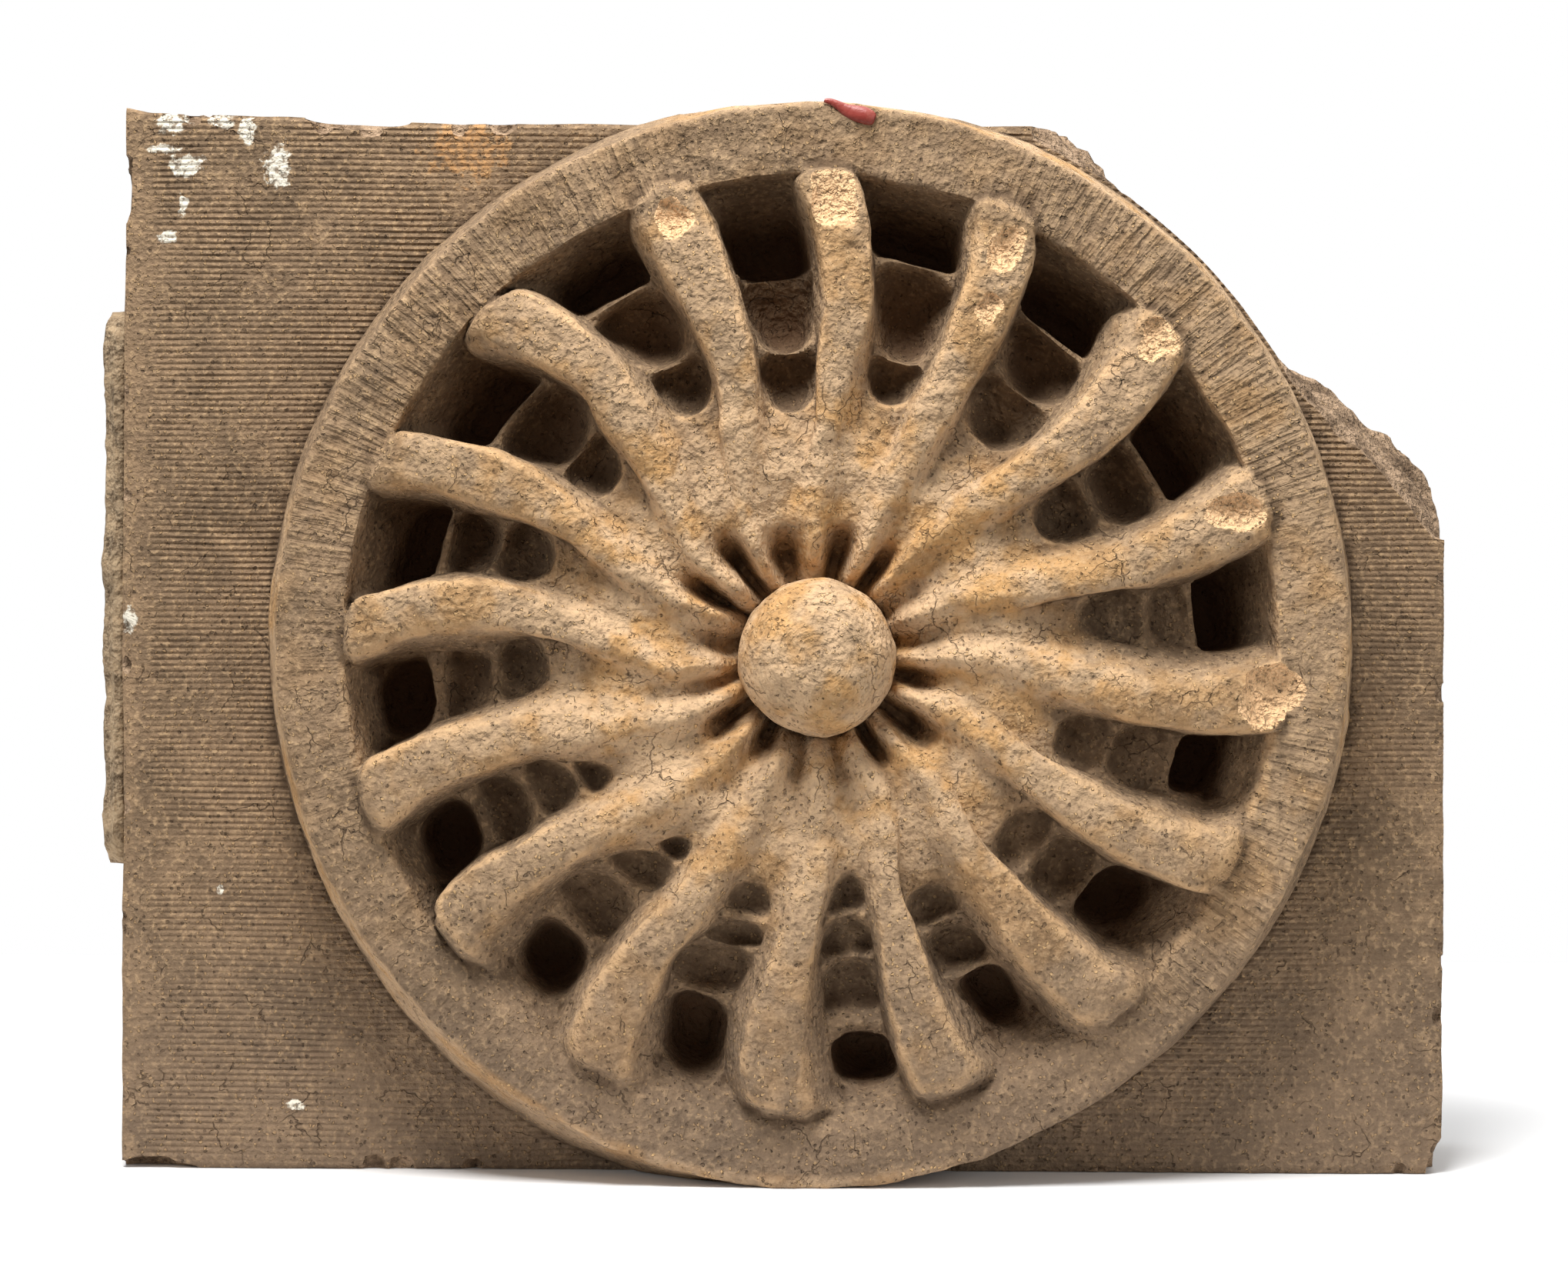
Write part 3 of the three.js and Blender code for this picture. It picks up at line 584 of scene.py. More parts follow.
def make_break():
    """Space of the lost corner: its edge carried to the back, leaning outwards, and roughened by noise."""
    arc = np.radians(np.linspace(BREAK_ARC_FROM, BREAK_ARC_TO, 24))
    round_ring = (RING_X, RING_Z) + BREAK_ARC_RADIUS * np.stack([np.sin(arc), np.cos(arc)], axis=-1)
    edge = np.vstack([BREAK_START, round_ring, BREAK_SIDE])
    length = np.append(0, np.cumsum(np.linalg.norm(np.diff(edge, axis=0), axis=1)))
    places = even_steps(0, length[-1], BREAK_STEP)
    path = np.stack([np.interp(places, length, edge[:, axis]) for axis in range(2)], axis=-1)
    out = path - (RING_X, RING_Z)
    lean = np.interp(np.degrees(np.arctan2(out[:, 0], out[:, 1])), *np.transpose(BREAK_LEANS))
    out /= np.linalg.norm(out, axis=1, keepdims=True)
    depth = even_steps(BLOCK_DEPTH + 8, -8, BREAK_STEP)[:, None]
    points = on_face(path[:, 0], path[:, 1], -depth)
    rough = lumpy(points, BREAK_LUMPS, 31) * ease(depth, -3, 8) * ease(lean, 0, 9)
    shift = lean * np.clip(depth / SHELL, 0, 1) + rough
    points[..., 0] += shift * out[:, 0]
    points[..., 2] += shift * out[:, 1]
    right, top = RIGHT + BREAK_REACH, TOP + BREAK_REACH
    far = [on_face(right, points[:, -1, 2], -depth[:, 0]), on_face(right, top, -depth[:, 0])]
    far += [on_face(points[:, 0, 0], top, -depth[:, 0])]
    loops = np.concatenate([points, np.stack(far, axis=1)], axis=1)
    middle = on_face(RIGHT + BREAK_REACH / 2, TOP + BREAK_REACH / 2, -depth[[0, -1], 0])
    return add_mesh("break", *loft(loops, middle[0], middle[1]), fracture)


def make_cell(number):
    """Hollow of one cell: rounded oblongs, |x|^p + |z|^p = 1, that narrow towards a rounded floor."""
    width = (RIGHT - LEFT - 2 * WALL - (CELL_COUNT - 1) * WEB) / CELL_COUNT
    middle_x = LEFT + WALL + width / 2 + number * (width + WEB)
    middle_z = (BED + TOP) / 2
    depth, fillet = np.transpose(CELL_SECTIONS)[..., None]
    inset = CELL_DRAFT * np.clip(depth / CELL_FLOOR, 0, 1) + fillet
    turn = np.linspace(0, 2 * np.pi, 120, endpoint=False)
    round_x, round_z = np.cos(turn), np.sin(turn)
    x = middle_x + (width / 2 - inset) * np.sign(round_x) * np.abs(round_x) ** CELL_CORNER
    z = middle_z + ((TOP - BED) / 2 - WALL - inset) * np.sign(round_z) * np.abs(round_z) ** CELL_CORNER
    loops = np.stack(np.broadcast_arrays(x, BACK_Y - depth, z), axis=-1).astype(float)
    loops[..., 0] += CELL_WANDER * grit(loops, CELL_WANDER_SIZE, 41 + number)
    loops[..., 2] += CELL_WANDER * grit(loops, CELL_WANDER_SIZE, 51 + number)
    ends = [np.array([middle_x, BACK_Y - end, middle_z]) for end in depth[[0, -1], 0]]
    return add_mesh("cell", *loft(loops, *ends), hollow)


def make_recess():
    """Round recess behind the rosette."""
    turn = np.linspace(0, 2 * np.pi, 96, endpoint=False)
    height = np.array([-RECESS_DEPTH, 2 * FRONT_SPARE])[:, None]
    loops = on_face(RING_X + RECESS_RADIUS * np.cos(turn), RING_Z + RECESS_RADIUS * np.sin(turn), height)
    return add_mesh("recess", *loft(loops, *(on_face(RING_X, RING_Z, end) for end in height[:, 0])))


def make_comb():
    """Space in front of the face: rows that follow wandering comb lines, closed by a point far in front.

    The depth of each row is the comb's profile times a strength that fades at the left margin and where the
    face is worn, plus a slow wave of the clay and a rounding of the block's edges.
    """
    rows = np.arange(BED - COMB_OVERHANG, TOP + 2 * COMB_OVERHANG, RIB_PITCH / ROWS_PER_RIB)
    columns = even_steps(LEFT - COMB_OVERHANG, RIGHT + COMB_OVERHANG, RIB_COLUMN)
    x, z = np.meshgrid(columns, rows)
    flat = on_face(x, z, 0)
    z = z + lumpy(flat, COMB_SWAY, 61)
    phase = np.arange(len(rows)) % ROWS_PER_RIB
    strength = ease(x - LEFT, *COMB_MARGIN) * (COMB_STRENGTH + COMB_PATCHES * grit(flat, 24, 63))
    strength = strength * (1 - COMB_WORN * ease(x - 0.6 * z, 140, 260))
    slow = lumpy(flat, FACE_LUMPS, 64)
    top = np.interp(x, *np.transpose(TOP_EDGE))
    inside = np.minimum.reduce([x - LEFT, RIGHT - x, z - BED, top - z])
    rounding = (2 + 0.9 * grit(flat, 9, 66)) * np.clip(1 - inside / 4, 0, 1.5) ** 2
    depth = RIB_DEPTH * strength * RIB_PROFILE[phase][:, None] + slow + rounding
    points = on_face(x, z, -depth)
    index = np.arange(x.size).reshape(x.shape)
    border = np.concatenate([index[:-1, 0], index[-1, :-1], index[:0:-1, -1], index[0, :0:-1]])
    apex = np.full(len(border), x.size)
    fan = np.stack([np.roll(border, -1), border, apex], axis=-1)
    points = np.vstack([points.reshape(-1, 3), on_face(0, CAMERA_HEIGHT, 4 * RING_FOOT)])
    return add_mesh("comb", points, grid_quads(index).tolist() + fan.tolist())


def tip_scoops():
    """Rough balls that take the tops off the broken and rubbed arms."""
    scoops = []
    for i, (arm, r, radii, low) in enumerate(SCOOPS):
        angle = arm_turn(arm, r)
        centre = on_face(HUB_X + r * np.sin(angle), HUB_Z + r * np.cos(angle), low + radii[1])
        scoops.append(make_chip(centre, radii, 100 + i, fracture))
    return scoops


def neighbour_mean(values, ends, count):
    """Mean of a value over the points that share an edge with each point."""
    total = np.zeros_like(values)
    np.add.at(total, ends[:, 0], values[ends[:, 1]])
    np.add.at(total, ends[:, 1], values[ends[:, 0]])
    return total / count.reshape(-1, *[1] * (values.ndim - 1))


def read_array(collection, name, width, kind):
    """Property of every item of a mesh collection, as an array."""
    values = np.empty(len(collection) * width, dtype=kind)
    collection.foreach_get(name, values)
    return values.reshape(-1, width) if width > 1 else values


def add_mask(mesh, name, values, domain="POINT"):
    """Float attribute with one value for each point or face."""
    mask = mesh.attributes.new(name, "FLOAT", domain)
    mask.data.foreach_set("value", values.astype(np.float32))


def place_masks(points, height, r, carved):
    """Masks from 0 to 1 by place: smoke-blackened pits with painted shade, crests and ring paler from
    rubbing, the ring's wall paler from rubbing and painted light at the upper right and lower left, darkening
    towards the bottom, and carved clay.
    """
    x, _, z = points.T
    in_rosette = 1 - ease(r, RING_INNER - 8, RING_INNER + 4)
    crests = in_rosette * (1 - ease(along(CREST, r) - height, *RUB_DROP))
    crests *= mix(1, 0.55, ease(r, *RUB_REACH)) * mix(0.5, 1, ease(z, *RUB_LEVELS))
    on_ring = (1 - in_rosette) * ease(height, *RING_RUB_HEIGHTS) * ease(z, *RING_RUB_LEVELS)
    on_ring *= mix(0.13, 0.4, ease(x, *RING_RUB_SIDE))
    from_ring = np.hypot(x - RING_X, z - RING_Z)
    # Ring's outer wall paler at the upper right and lower left, partly from rubbing and partly as painted
    # light.
    wall_rub_and_light = ease(from_ring, RING_OUTER - 2, RING_OUTER + 1) * ease(height, 4, 10)
    wall_rub_and_light *= np.maximum(ease(x + z, 380, 480), ease(-x - z, -110, -60))
    return {
        # Soot with painted shade: pits darker the deeper they sink.
        "soot_and_shade": in_rosette * (1 - ease(height, *SOOT_AND_SHADE_HEIGHTS)) * ease(r, *SOOT_AND_SHADE_REACH),
        "rub_and_wall_light": np.maximum(crests + on_ring, 0.75 * wall_rub_and_light),
        # Darker towards the bottom of the block.
        "bottom_darkening": 1 - ease(z, *BOTTOM_DARKENING_LEVELS),
        "carved": mix(0.3, mix(0.75, 1, in_rosette), carved),
    }


def weather(panel):
    """Softens the carved clay, moves the surface in and out by noise, and stores the masks of its finish.

    A point's bulge is how far it stands out from its neighbours' mean, over the mean length of its edges.
    """
    mesh = panel.data
    cut = read_array(mesh.vertices, "co", 3, np.float32).astype(float) / MM
    normals = read_array(mesh.vertices, "normal", 3, np.float32).astype(float)
    ends = read_array(mesh.edges, "vertices", 2, np.int32)
    count = np.maximum(np.bincount(ends.ravel(), minlength=len(cut)), 1)
    height = FACE_Y - cut[:, 1]
    r = np.hypot(cut[:, 0] - HUB_X, cut[:, 2] - HUB_Z)
    carved = np.clip(ease(height, 2, 8) + (r < RING_INNER) * (height > HOLE_FLOOR - 2), 0, 1)
    softened = mix(cut, neighbour_mean(cut, ends, count), SOFTENING)
    points = mix(cut, softened, (carved * (r < RING_OUTER - 6))[:, None])
    points += normals * (lumpy(points, CARVED_LUMPS, 71) * mix(0.15, 1, carved))[:, None]
    points[:, 2] = np.maximum(points[:, 2], BED)
    mesh.vertices.foreach_set("co", (points * MM).astype(np.float32).ravel())
    mesh.update()
    lengths = np.linalg.norm(points[ends[:, 0]] - points[ends[:, 1]], axis=1)
    mean_length = np.bincount(ends.ravel(), np.repeat(lengths, 2), len(points)) / count
    stands_out = ((points - neighbour_mean(points, ends, count)) * normals).sum(axis=1)
    bulge = stands_out / np.maximum(mean_length, 0.3)
    # Hollows, darkened as painted shade with dirt.
    add_mask(mesh, "groove", np.clip(-3 * bulge, 0, 1))
    for _ in range(2):
        bulge = (bulge + neighbour_mean(bulge, ends, count)) / 2
    # Bulge: above zero on edges, worn paler; below zero in hollows, darkened as painted shade with dirt.
    add_mask(mesh, "edge", np.clip(bulge * 4, -1, 1))
    for name, values in place_masks(cut, height, r, carved).items():
        add_mask(mesh, name, values)
    slots = [slot.name if slot else "" for slot in mesh.materials]
    index = read_array(mesh.polygons, "material_index", 1, np.int32)
    add_mask(mesh, "fresh", index == slots.index(fracture.name), "FACE")
    mesh.materials.clear()
    mesh.materials.append(clay)
    mesh.polygons.foreach_set("material_index", np.zeros(len(mesh.polygons), np.int32))
    finish_smooth(panel, 50)


def finish_smooth(piece, angle):
    """Smooth shading, with edges sharper than the angle kept crisp."""
    mesh = piece.data
    mesh.polygons.foreach_set("use_smooth", np.ones(len(mesh.polygons), bool))
    mesh.set_sharp_from_angle(angle=math.radians(angle))


# Mortar and wax
def make_mortar():
    """Mortar strip: an oblong section carried up the joint, with a ledge along it and ragged ends."""
    up = np.linspace(0, 1, MORTAR_ROWS)[:, None]
    turn = np.linspace(0, 2 * np.pi, MORTAR_SIDES, endpoint=False)
    half = (mortar_high - mortar_low) / 2
    middle = (mortar_high + mortar_low) / 2
    x = np.sign(np.cos(turn)) * np.abs(np.cos(turn)) ** MORTAR_SQUARENESS
    y = np.sign(np.sin(turn)) * np.abs(np.sin(turn)) ** MORTAR_SQUARENESS
    z = mix(mortar_low[2], mortar_high[2], up)
    end = np.sqrt(np.clip(1 - np.abs(2 * up - 1) ** 14, 0.05, 1))
    section = np.broadcast_arrays(middle[0] + half[0] * x, middle[1] + half[1] * y * end, z)
    loops = np.stack(section, axis=-1).astype(float)
    outer = 1 - ease(loops[..., 0], middle[0] - 3, middle[0] - 1)
    front = loops[..., 1] < middle[1]
    loops[..., 1] += np.where(front, outer * (MORTAR_LEDGE + lumpy(loops, LEDGE_WANDER, 81)), 0)
    lumps = lumpy(loops, MORTAR_LUMPS, 82)
    loops[..., 1] += np.where(front, lumps - 0.6, -lumps)
    loops[..., 0] += np.where(x < 0, 0.8 * lumps + 1.2, 0)
    piece = add_mesh("lime_mortar_strip", *loft(loops, loops[0].mean(axis=0), loops[-1].mean(axis=0)), mortar)
    finish_smooth(piece, 45)
    return piece


def make_dab():
    """Wax dab: a flat streak that widens to a round drop, its section half an ellipse on the ring."""
    share = np.linspace(0, 1, DAB_ROWS)[1:-1, None]
    turn = np.linspace(0, 2 * np.pi, DAB_SIDES, endpoint=False)
    width = (1.5 + 2.4 * ease(share, 0.1, 0.75)) * np.sqrt(1 - np.abs(2 * share - 1) ** 6)
    thick = (1.1 + 1.5 * ease(share, 0.35, 0.85)) * np.sqrt(1 - np.abs(2 * share - 1) ** 5)
    run = (share - 0.5) * DAB_LENGTH + 0 * turn
    rise = width * np.sin(turn) + 0.9 * np.sin(share * 9) * (1 - share)
    out = np.where(np.cos(turn) > 0, thick, 0.6) * np.cos(turn)
    lean = math.radians(DAB_TURN)
    middle = (dab_low + dab_high) / 2
    x = middle[0] + run * math.cos(lean) + rise * math.sin(lean)
    z = middle[2] + DAB_LIFT - run * math.sin(lean) + rise * math.cos(lean)
    loops = np.stack([x, dab_high[1] - out, z], axis=-1)
    piece = add_mesh("red_wax_dab", *loft(loops, loops[0].mean(axis=0), loops[-1].mean(axis=0)), wax)
    finish_smooth(piece, 60)
    return piece


# Finishes
def paint(red, green, blue):
    """Colour as a screen shows it, 0 to 255, turned into the linear values of a shader."""
    return (*(((value / 255 + 0.055) / 1.055) ** 2.4 for value in (red, green, blue)), 1)


class Finish:
    """One material's nodes, with short calls for the patterns they make; sizes are in millimetres."""

    def __init__(self, name):
        self.material = bpy.data.materials.new(name)
        self.material.use_nodes = True
        self.tree = self.material.node_tree
        self.shader = self.tree.nodes["Principled BSDF"]
        place = self.tree.nodes.new("ShaderNodeTexCoord").outputs["Object"]
        self.place = self.node("ShaderNodeVectorMath", {0: place, "Scale": 1 / MM}, operation="SCALE")

    def node(self, kind, inputs, output=0, **settings):
        made = self.tree.nodes.new(kind)
        for name, value in settings.items():
            setattr(made, name, value)
        for name, value in inputs.items():
            self.feed(made.inputs[name], value)
        return made.outputs[output]

    def feed(self, socket, value):
        if isinstance(value, bpy.types.NodeSocket):
            self.tree.links.new(value, socket)
        else:
            socket.default_value = value

    def math(self, operation, first, second=0.0, third=0.0):
        return self.node("ShaderNodeMath", {0: first, 1: second, 2: third}, operation=operation)

    def noise(self, size, detail=3.0, rough=0.6):
        inputs = {"Vector": self.place, "Scale": 1 / size, "Detail": detail, "Roughness": rough}
        return self.node("ShaderNodeTexNoise", inputs)

    def shaken(self, size, amount):
        inputs = {"Vector": self.place, "Scale": 1 / size, "Detail": 2.0}
        wave = self.node("ShaderNodeTexNoise", inputs, "Color")
        inputs = {0: wave, 1: (amount, amount, amount), 2: self.place}
        return self.node("ShaderNodeVectorMath", inputs, operation="MULTIPLY_ADD")

    def grains(self, size, output="Distance", place=None, feature="F1"):
        inputs = {"Vector": place or self.place, "Scale": 1 / size}
        return self.node("ShaderNodeTexVoronoi", inputs, output, feature=feature)

    def around(self, x, z):
        """Distance and turn, clockwise from the top, about a point of the face."""
        moved = self.node("ShaderNodeVectorMath", {0: self.place, 1: (x, 0, z)}, operation="SUBTRACT")
        parts = [self.node("ShaderNodeSeparateXYZ", {0: moved}, axis) for axis in "XZ"]
        reach = self.math("SQRT", self.math("ADD", *(self.math("POWER", part, 2.0) for part in parts)))
        return reach, self.math("ARCTAN2", *parts)

    def drawn(self, first, second):
        """Noise from -0.5 to 0.5 over two coordinates, one cell for each unit."""
        place = self.node("ShaderNodeCombineXYZ", {0: first, 1: second})
        inputs = {"Vector": place, "Scale": 1.0, "Detail": 2.0, "Distortion": 0.3}
        return self.math("SUBTRACT", self.node("ShaderNodeTexNoise", inputs), 0.5)

    def strokes(self):
        """Comb strokes across the ring: noise drawn out along the radius, strongest in three stretches."""
        reach, turn = self.around(RING_X, RING_Z)
        around_ring = self.math("MULTIPLY", turn, RING_OUTER / STROKE_PITCH)
        lines = self.drawn(around_ring, self.math("MULTIPLY", reach, STROKE_DRAW))
        strength = self.range(self.noise(40, 2), 0.4, 0.6, 0.05, 0.45)
        for middle, half in STROKE_STRETCHES:
            near = self.math("COSINE", self.math("SUBTRACT", turn, math.radians(middle)))
            stretch = self.range(near, math.cos(math.radians(half + 7)), math.cos(math.radians(half - 7)))
            strength = self.math("MAXIMUM", strength, stretch)
        on_ring = self.math("MULTIPLY", self.range(reach, RING_INNER - 2, RING_INNER + 3),
                            self.range(reach, RING_OUTER + 1, RING_OUTER - 3))
        return self.math("MULTIPLY", lines, self.math("MULTIPLY", on_ring, strength))

    def swirl(self):
        """Smear marks on the hub: noise drawn out around its middle."""
        reach, turn = self.around(BALL_X, BALL_Z)
        lines = self.drawn(self.math("MULTIPLY", reach, 0.45), turn)
        return self.math("MULTIPLY", lines, self.range(reach, BALL_RADIUS + 1, BALL_RADIUS - 3, 0, 0.4))

    def range(self, value, low, high, start=0.0, end=1.0):
        inputs = {"Value": value, "From Min": low, "From Max": high, "To Min": start, "To Max": end}
        return self.node("ShaderNodeMapRange", inputs, interpolation_type="SMOOTHSTEP")

    def mask(self, name):
        return self.node("ShaderNodeAttribute", {}, "Fac", attribute_name=name)

    def blend(self, part, first, second, blend_type="MIX"):
        inputs = {0: part, 6: first, 7: second}
        return self.node("ShaderNodeMix", inputs, 2, data_type="RGBA", blend_type=blend_type)

    def ellipse(self, x, z, half_x, half_z, fray, fray_size):
        moved = self.node("ShaderNodeVectorMath", {0: self.place, 1: (x, FACE_Y, z)}, operation="SUBTRACT")
        shares = (1 / half_x, 0.02, 1 / half_z)
        shrunk = self.node("ShaderNodeVectorMath", {0: moved, 1: shares}, operation="MULTIPLY")
        far = self.node("ShaderNodeVectorMath", {0: shrunk}, "Value", operation="LENGTH")
        ragged = self.math("MULTIPLY_ADD", self.math("SUBTRACT", self.noise(fray_size, 4), 0.5), fray, far)
        return self.range(ragged, 1.15, 0.8)

    def bump(self, height, distance, normal=None, strength=1.0):
        inputs = {"Height": height, "Distance": distance * MM, "Strength": strength}
        if normal:
            inputs["Normal"] = normal
        return self.node("ShaderNodeBump", inputs)

    def finish(self, colour, roughness, normal, specular):
        self.feed(self.shader.inputs["Base Color"], colour)
        self.feed(self.shader.inputs["Roughness"], roughness)
        self.feed(self.shader.inputs["Normal"], normal)
        self.shader.inputs["Specular IOR Level"].default_value = specular
        return self.material


# Patches on the face: x, z and half sizes
LIME_PATCHES = (
    (-283, 482.5, 6.4, 5), (-277, 463, 6.5, 5.5), (-287, 470, 7, 2.2), (-260.5, 483, 5.5, 3.5),
    (-248.4, 478, 3.5, 6.5),
    (-235, 462.6, 5.5, 9.8), (-278, 444, 2.1, 5.1), (-284.7, 429.3, 3.9, 2.8), (-259.4, 128.3, 1.6, 2),
    (-224.8, 29.2, 4, 2.2), (-302, 253, 3.5, 5),
)
ORANGE_PATCH = (-148.4, 469.8, 16.7, 12.8)
STROKE_PITCH, STROKE_DRAW = 3.4, 0.03
STROKE_STRETCHES = ((312, 34), (50, 27), (118, 20))
CRACK_SIZE = 21


# Colours of the clay
DARK_CLAY, MID_CLAY, BUFF_CLAY = paint(116, 96, 75), paint(138, 114, 89), paint(168, 139, 107)
RUBBED_CLAY, OCHRE_CLAY, WORN_CLAY = paint(212, 178, 140), paint(204, 158, 104), paint(218, 178, 132)
# The last colour here darkens the block towards the bottom.
PALE_SAND, DARK_SAND, BOTTOM_DARKENING = paint(212, 178, 136), paint(92, 72, 54), paint(98, 84, 73)
# The first two colours here are painted shade with dirt, for hollows and grooves.
CREVICE_DIRT_AND_SHADE, GROOVE_DIRT_AND_SHADE, ORANGE_CLAY = paint(86, 67, 50), paint(70, 54, 40), paint(186, 140, 92)
DARK_BREAK, PALE_BREAK, TIP_BREAK = paint(104, 84, 65), paint(172, 145, 118), paint(244, 200, 152)
DARK_STROKE, PALE_STROKE = paint(84, 65, 48), paint(206, 172, 132)
PALE_GROG, DARK_GROG, CRACK = paint(226, 184, 130), paint(56, 42, 32), paint(64, 46, 33)
# The first colour here is soot with painted shade, for the pits.
SOOT_AND_SHADE, LIME = paint(118, 88, 64), paint(232, 224, 206)
GROG_SIZE = 1.8


def clay_body(made, fine, medium):
    """Colour of the clay's skin: mottled brown, paler from rubbing on the crests and on the ring, with
    painted light on the ring's wall, painted shade with dirt in hollows, darker towards the foot.
    """
    rub_and_wall_light, edge = made.mask("rub_and_wall_light"), made.mask("edge")
    colour = made.blend(made.range(made.noise(55, 3), 0.35, 0.65), DARK_CLAY, MID_CLAY)
    colour = made.blend(made.range(medium, 0.42, 0.7, 0, 0.45), colour, BUFF_CLAY)
    # Paler where rubbed, and on the ring's wall also as painted light.
    rubbed_and_wall_lit = made.math("MULTIPLY", rub_and_wall_light, made.range(medium, 0.3, 0.6, 0.55, 1))
    ochre = made.blend(made.range(made.noise(30, 3), 0.46, 0.62), RUBBED_CLAY, OCHRE_CLAY)
    colour = made.blend(rubbed_and_wall_lit, colour, ochre)
    colour = made.blend(made.range(fine, 0.5, 0.7, 0, 0.38), colour, PALE_SAND)
    colour = made.blend(made.range(fine, 0.45, 0.28, 0, 0.4), colour, DARK_SAND)
    # Darker towards the bottom.
    colour = made.blend(made.math("MULTIPLY", made.mask("bottom_darkening"), 0.42), colour, BOTTOM_DARKENING)
    patchy = made.math("MULTIPLY_ADD", made.math("SUBTRACT", medium, 0.5), 1.6, edge)
    worn = made.math("MULTIPLY", made.range(patchy, 0.2, 0.75, 0, 0.5), made.range(rub_and_wall_light, 0, 0.4, 0.1, 1))
    colour = made.blend(worn, colour, WORN_CLAY)
    # Painted shade with dirt in hollows and grooves.
    colour = made.blend(made.range(edge, -0.05, -0.6, 0, 0.65), colour, CREVICE_DIRT_AND_SHADE)
    return made.blend(made.math("MULTIPLY", made.mask("groove"), 0.45), colour, GROOVE_DIRT_AND_SHADE)


def clay_breaks(made, colour, fine, medium):
    """Orange patch on the face and broken clay: stony on the block, paler on the arms."""
    orange = made.math("MULTIPLY", made.ellipse(*ORANGE_PATCH, 3, 7), made.range(fine, 0.35, 0.6, 0.2, 0.8))
    colour = made.blend(orange, colour, ORANGE_CLAY)
    broken = made.math("MULTIPLY", made.mask("fresh"), made.range(fine, 0.3, 0.55, 0.45, 1))
    stone = made.blend(made.range(medium, 0.35, 0.62), DARK_BREAK, PALE_BREAK)
    on_arm = made.range(made.mask("carved"), 0.4, 0.7)
    return made.blend(broken, colour, made.blend(on_arm, stone, TIP_BREAK))


def clay_grog(made):
    """Pale and dark grains: cells of a shaken pattern, picked by chance and cut off round their middles."""
    shaken = made.shaken(2.0, 2.4)
    chosen = made.node("ShaderNodeSeparateColor", {"Color": made.grains(GROG_SIZE, "Color", shaken)})
    close = made.range(made.grains(GROG_SIZE, "Distance", shaken), 0.5, 0.3)
    pale = made.math("MULTIPLY", made.math("GREATER_THAN", chosen, 0.86), close)
    dark = made.math("MULTIPLY", made.math("LESS_THAN", chosen, 0.08), close)
    return pale, dark


def clay_cracks(made, medium):
    """Cracks: edges between shaken cells, long ones here and there and fine ones where the clay is paler from
    rubbing and, on the ring's wall, from painted light.
    """
    line = made.grains(CRACK_SIZE, "Distance", made.shaken(7, 9), "DISTANCE_TO_EDGE")
    crack = made.math("MULTIPLY", made.range(line, 0.016, 0.003), made.range(made.noise(26, 2), 0.56, 0.63))
    craze = made.range(made.grains(9, "Distance", made.shaken(4, 6), "DISTANCE_TO_EDGE"), 0.04, 0.006)
    on_rubbed_and_wall_lit = made.math("MULTIPLY", made.mask("rub_and_wall_light"), made.range(medium, 0.58, 0.67))
    return made.math("MAXIMUM", crack, made.math("MULTIPLY", craze, on_rubbed_and_wall_lit))


def clay_lime(made, fine):
    """Splashes of lime, frayed and thin in places."""
    lime = 0.0
    for patch in LIME_PATCHES:
        lime = made.math("MAXIMUM", lime, made.ellipse(*patch, 2.6, 4))
    return made.math("MULTIPLY", lime, made.range(fine, 0.36, 0.5, 0.2, 1))


def make_clay():
    """Fired clay: skin, breaks, tool marks, grog, cracks, smoke-blackening with painted shade, and lime in
    layers, over a rough relief.
    """
    made = Finish("terracotta_clay")
    medium, fine, crust = made.noise(13, 4), made.noise(2.8, 2, 0.6), made.noise(8, 2, 0.5)
    colour = clay_breaks(made, clay_body(made, fine, medium), fine, medium)
    marks = made.math("ADD", made.strokes(), made.swirl())
    colour = made.blend(made.range(marks, -0.03, -0.16, 0, 0.3), colour, DARK_STROKE)
    colour = made.blend(made.range(marks, 0.03, 0.16, 0, 0.25), colour, PALE_STROKE)
    pale_grog, dark_grog = clay_grog(made)
    shown = made.math("MULTIPLY", pale_grog, made.range(made.mask("rub_and_wall_light"), 0, 0.5, 0.25, 0.6))
    colour = made.blend(shown, colour, PALE_GROG)
    colour = made.blend(made.math("MULTIPLY", dark_grog, 0.45), colour, DARK_GROG)
    crack = clay_cracks(made, medium)
    colour = made.blend(made.math("MULTIPLY", crack, 0.5), colour, CRACK)
    # Soot with painted shade: pits darker the deeper they sink.
    sooty_and_shaded = made.math("MULTIPLY", made.mask("soot_and_shade"), made.range(medium, 0.2, 0.7, 1, 0.75))
    colour = made.blend(sooty_and_shaded, colour, SOOT_AND_SHADE)
    colour = made.blend(clay_lime(made, fine), colour, LIME)
    relief = made.bump(made.math("MULTIPLY", crust, made.mask("carved")), 3.9)
    gritty = made.math("MULTIPLY", fine, made.range(made.mask("fresh"), 0, 1, 1, 2.5))
    relief = made.bump(gritty, 1.5, relief)
    relief = made.bump(marks, 3.0, relief)
    relief = made.bump(made.math("SUBTRACT", pale_grog, made.math("ADD", dark_grog, crack)), 0.9, relief)
    return made.finish(colour, 0.93, relief, 0.2)


def make_mortar_finish():
    """Old lime mortar: sandy brown with pale and dark grains."""
    made = Finish("old_lime_mortar")
    medium, fine = made.noise(11, 4), made.noise(1.6, 3, 0.7)
    colour = made.blend(made.range(medium, 0.35, 0.65), paint(88, 71, 54), paint(168, 143, 112))
    colour = made.blend(made.range(fine, 0.35, 0.7, 0, 0.7), colour, paint(190, 167, 136))
    grain = made.bump(made.noise(5, 2, 0.5), 4.0, made.bump(fine, 0.8))
    return made.finish(colour, 0.95, grain, 0.2)


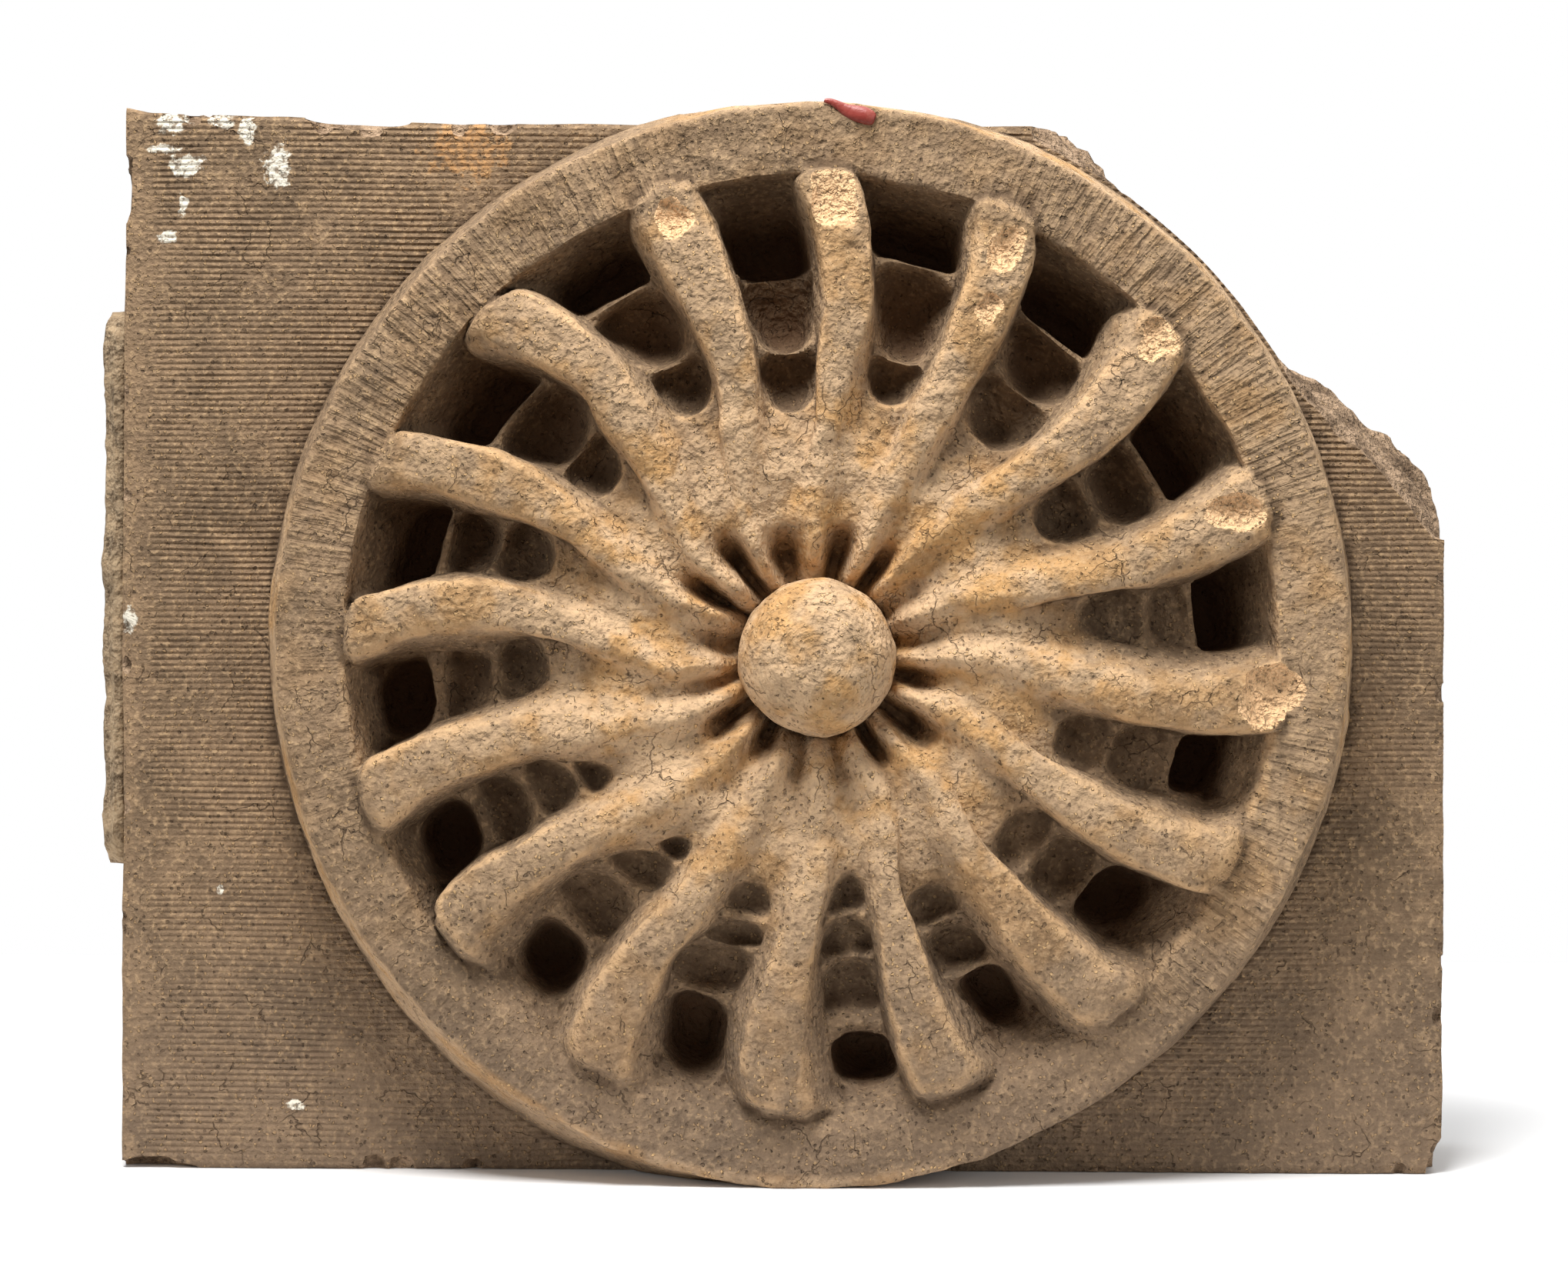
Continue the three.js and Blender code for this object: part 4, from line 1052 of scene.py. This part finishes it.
def make_wax_finish():
    """Red sealing wax: even red, a little dusty, satin."""
    made = Finish("red_wax")
    dust = made.noise(3, 4)
    colour = made.blend(made.range(dust, 0.4, 0.75, 0, 0.5), paint(148, 56, 46), paint(174, 106, 90))
    return made.finish(colour, 0.45, made.bump(made.noise(2, 2), 0.25), 0.5)


clay = make_clay()
mortar = make_mortar_finish()
wax = make_wax_finish()
fracture = bpy.data.materials.new("fracture_marker")
hollow = bpy.data.materials.new("hollow_marker")


def make_panel():
    """The whole block: chipped, broken, hollowed and combed box, joined with the rosette and its hub."""
    panel = make_block()
    combine(panel, [make_cell(number) for number in range(CELL_COUNT)] + [make_recess()], "DIFFERENCE")
    combine(panel, edge_chips() + [make_break()], "DIFFERENCE")
    combine(panel, [make_comb()], "DIFFERENCE")
    combine(panel, [make_rosette(), make_hub()], "UNION")
    combine(panel, tip_scoops(), "DIFFERENCE")
    weather(panel)
    return panel


for piece, node, slot in (
    (make_panel(), "terracotta_panel", "terracotta"),
    (make_mortar(), "mortar_remnant", "mortar"),
    (make_dab(), "red_dab", "red_wax"),
):
    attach(piece, "root")
    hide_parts(node)


# Stage, light and camera
FLOOR_X, FLOOR_Y, FLOOR_Z = (-1800, 1800), (-300, 900), -0.2


def make_floor():
    """White studio floor: one flat sheet."""
    x, y, z = np.meshgrid(FLOOR_X, FLOOR_Y, FLOOR_Z, indexing="ij")
    points = np.stack([x, y, z], axis=-1).reshape(-1, 3).astype(float)
    floor = add_mesh("studio_floor", points, [(0, 2, 3, 1)])
    made = bpy.data.materials.new("white_paper")
    made.use_nodes = True
    shader = made.node_tree.nodes["Principled BSDF"]
    shader.inputs["Base Color"].default_value = (0.92, 0.92, 0.92, 1)
    shader.inputs["Roughness"].default_value = 0.9
    floor.data.materials.append(made)


def add_light(name, place, target, size, power):
    """Square soft light at a place, turned to face a target; places are in metres."""
    lamp = bpy.data.lights.new(name, "AREA")
    lamp.size = size
    lamp.energy = power
    light = bpy.data.objects.new(name, lamp)
    light.location = place
    light.rotation_euler = (Vector(target) - Vector(place)).to_track_quat("-Z", "Y").to_euler()
    bpy.context.scene.collection.objects.link(light)


def make_world():
    """White surroundings: bright where the camera looks, softer as light."""
    world = bpy.data.worlds.new("white_surroundings")
    world.use_nodes = True
    bpy.context.scene.world = world
    nodes, links = world.node_tree.nodes, world.node_tree.links
    background = nodes["Background"]
    background.inputs["Color"].default_value = (1, 1, 1, 1)
    path = nodes.new("ShaderNodeLightPath")
    amount = nodes.new("ShaderNodeMapRange")
    amount.inputs["To Min"].default_value = 0.14
    amount.inputs["To Max"].default_value = 1.0
    links.new(path.outputs["Is Camera Ray"], amount.inputs["Value"])
    links.new(amount.outputs["Result"], background.inputs["Strength"])


def make_camera():
    """Level camera straight in front of the block, with a slight roll."""
    lens = bpy.data.cameras.new("camera")
    lens.sensor_width = SENSOR_WIDTH
    lens.sensor_fit = "HORIZONTAL"
    lens.lens = SENSOR_WIDTH * CAMERA_DISTANCE / (IMAGE_WIDTH * FACE_MM_PER_PIXEL)
    camera = bpy.data.objects.new("camera", lens)
    camera.location = (0, (FACE_Y - CAMERA_DISTANCE) * MM, CAMERA_HEIGHT * MM)
    camera.rotation_euler = (math.radians(90), math.radians(CAMERA_ROLL), 0)
    bpy.context.scene.collection.objects.link(camera)
    bpy.context.scene.camera = camera


make_floor()
make_world()
make_camera()
add_light("key_light", (-0.25, -0.85, 1.85), (0, 0, 0.25), 0.65, 44)
add_light("left_fill", (-2.0, -1.3, 0.6), (0, 0, 0.25), 1.2, 13)
add_light("right_fill", (2.0, -1.5, 0.9), (0, 0, 0.25), 1.2, 15)
add_light("floor_wash", (0, 0.5, 2.2), (0, 0.5, 0), 2.4, 44)
bpy.context.scene.view_settings.view_transform = "Standard"
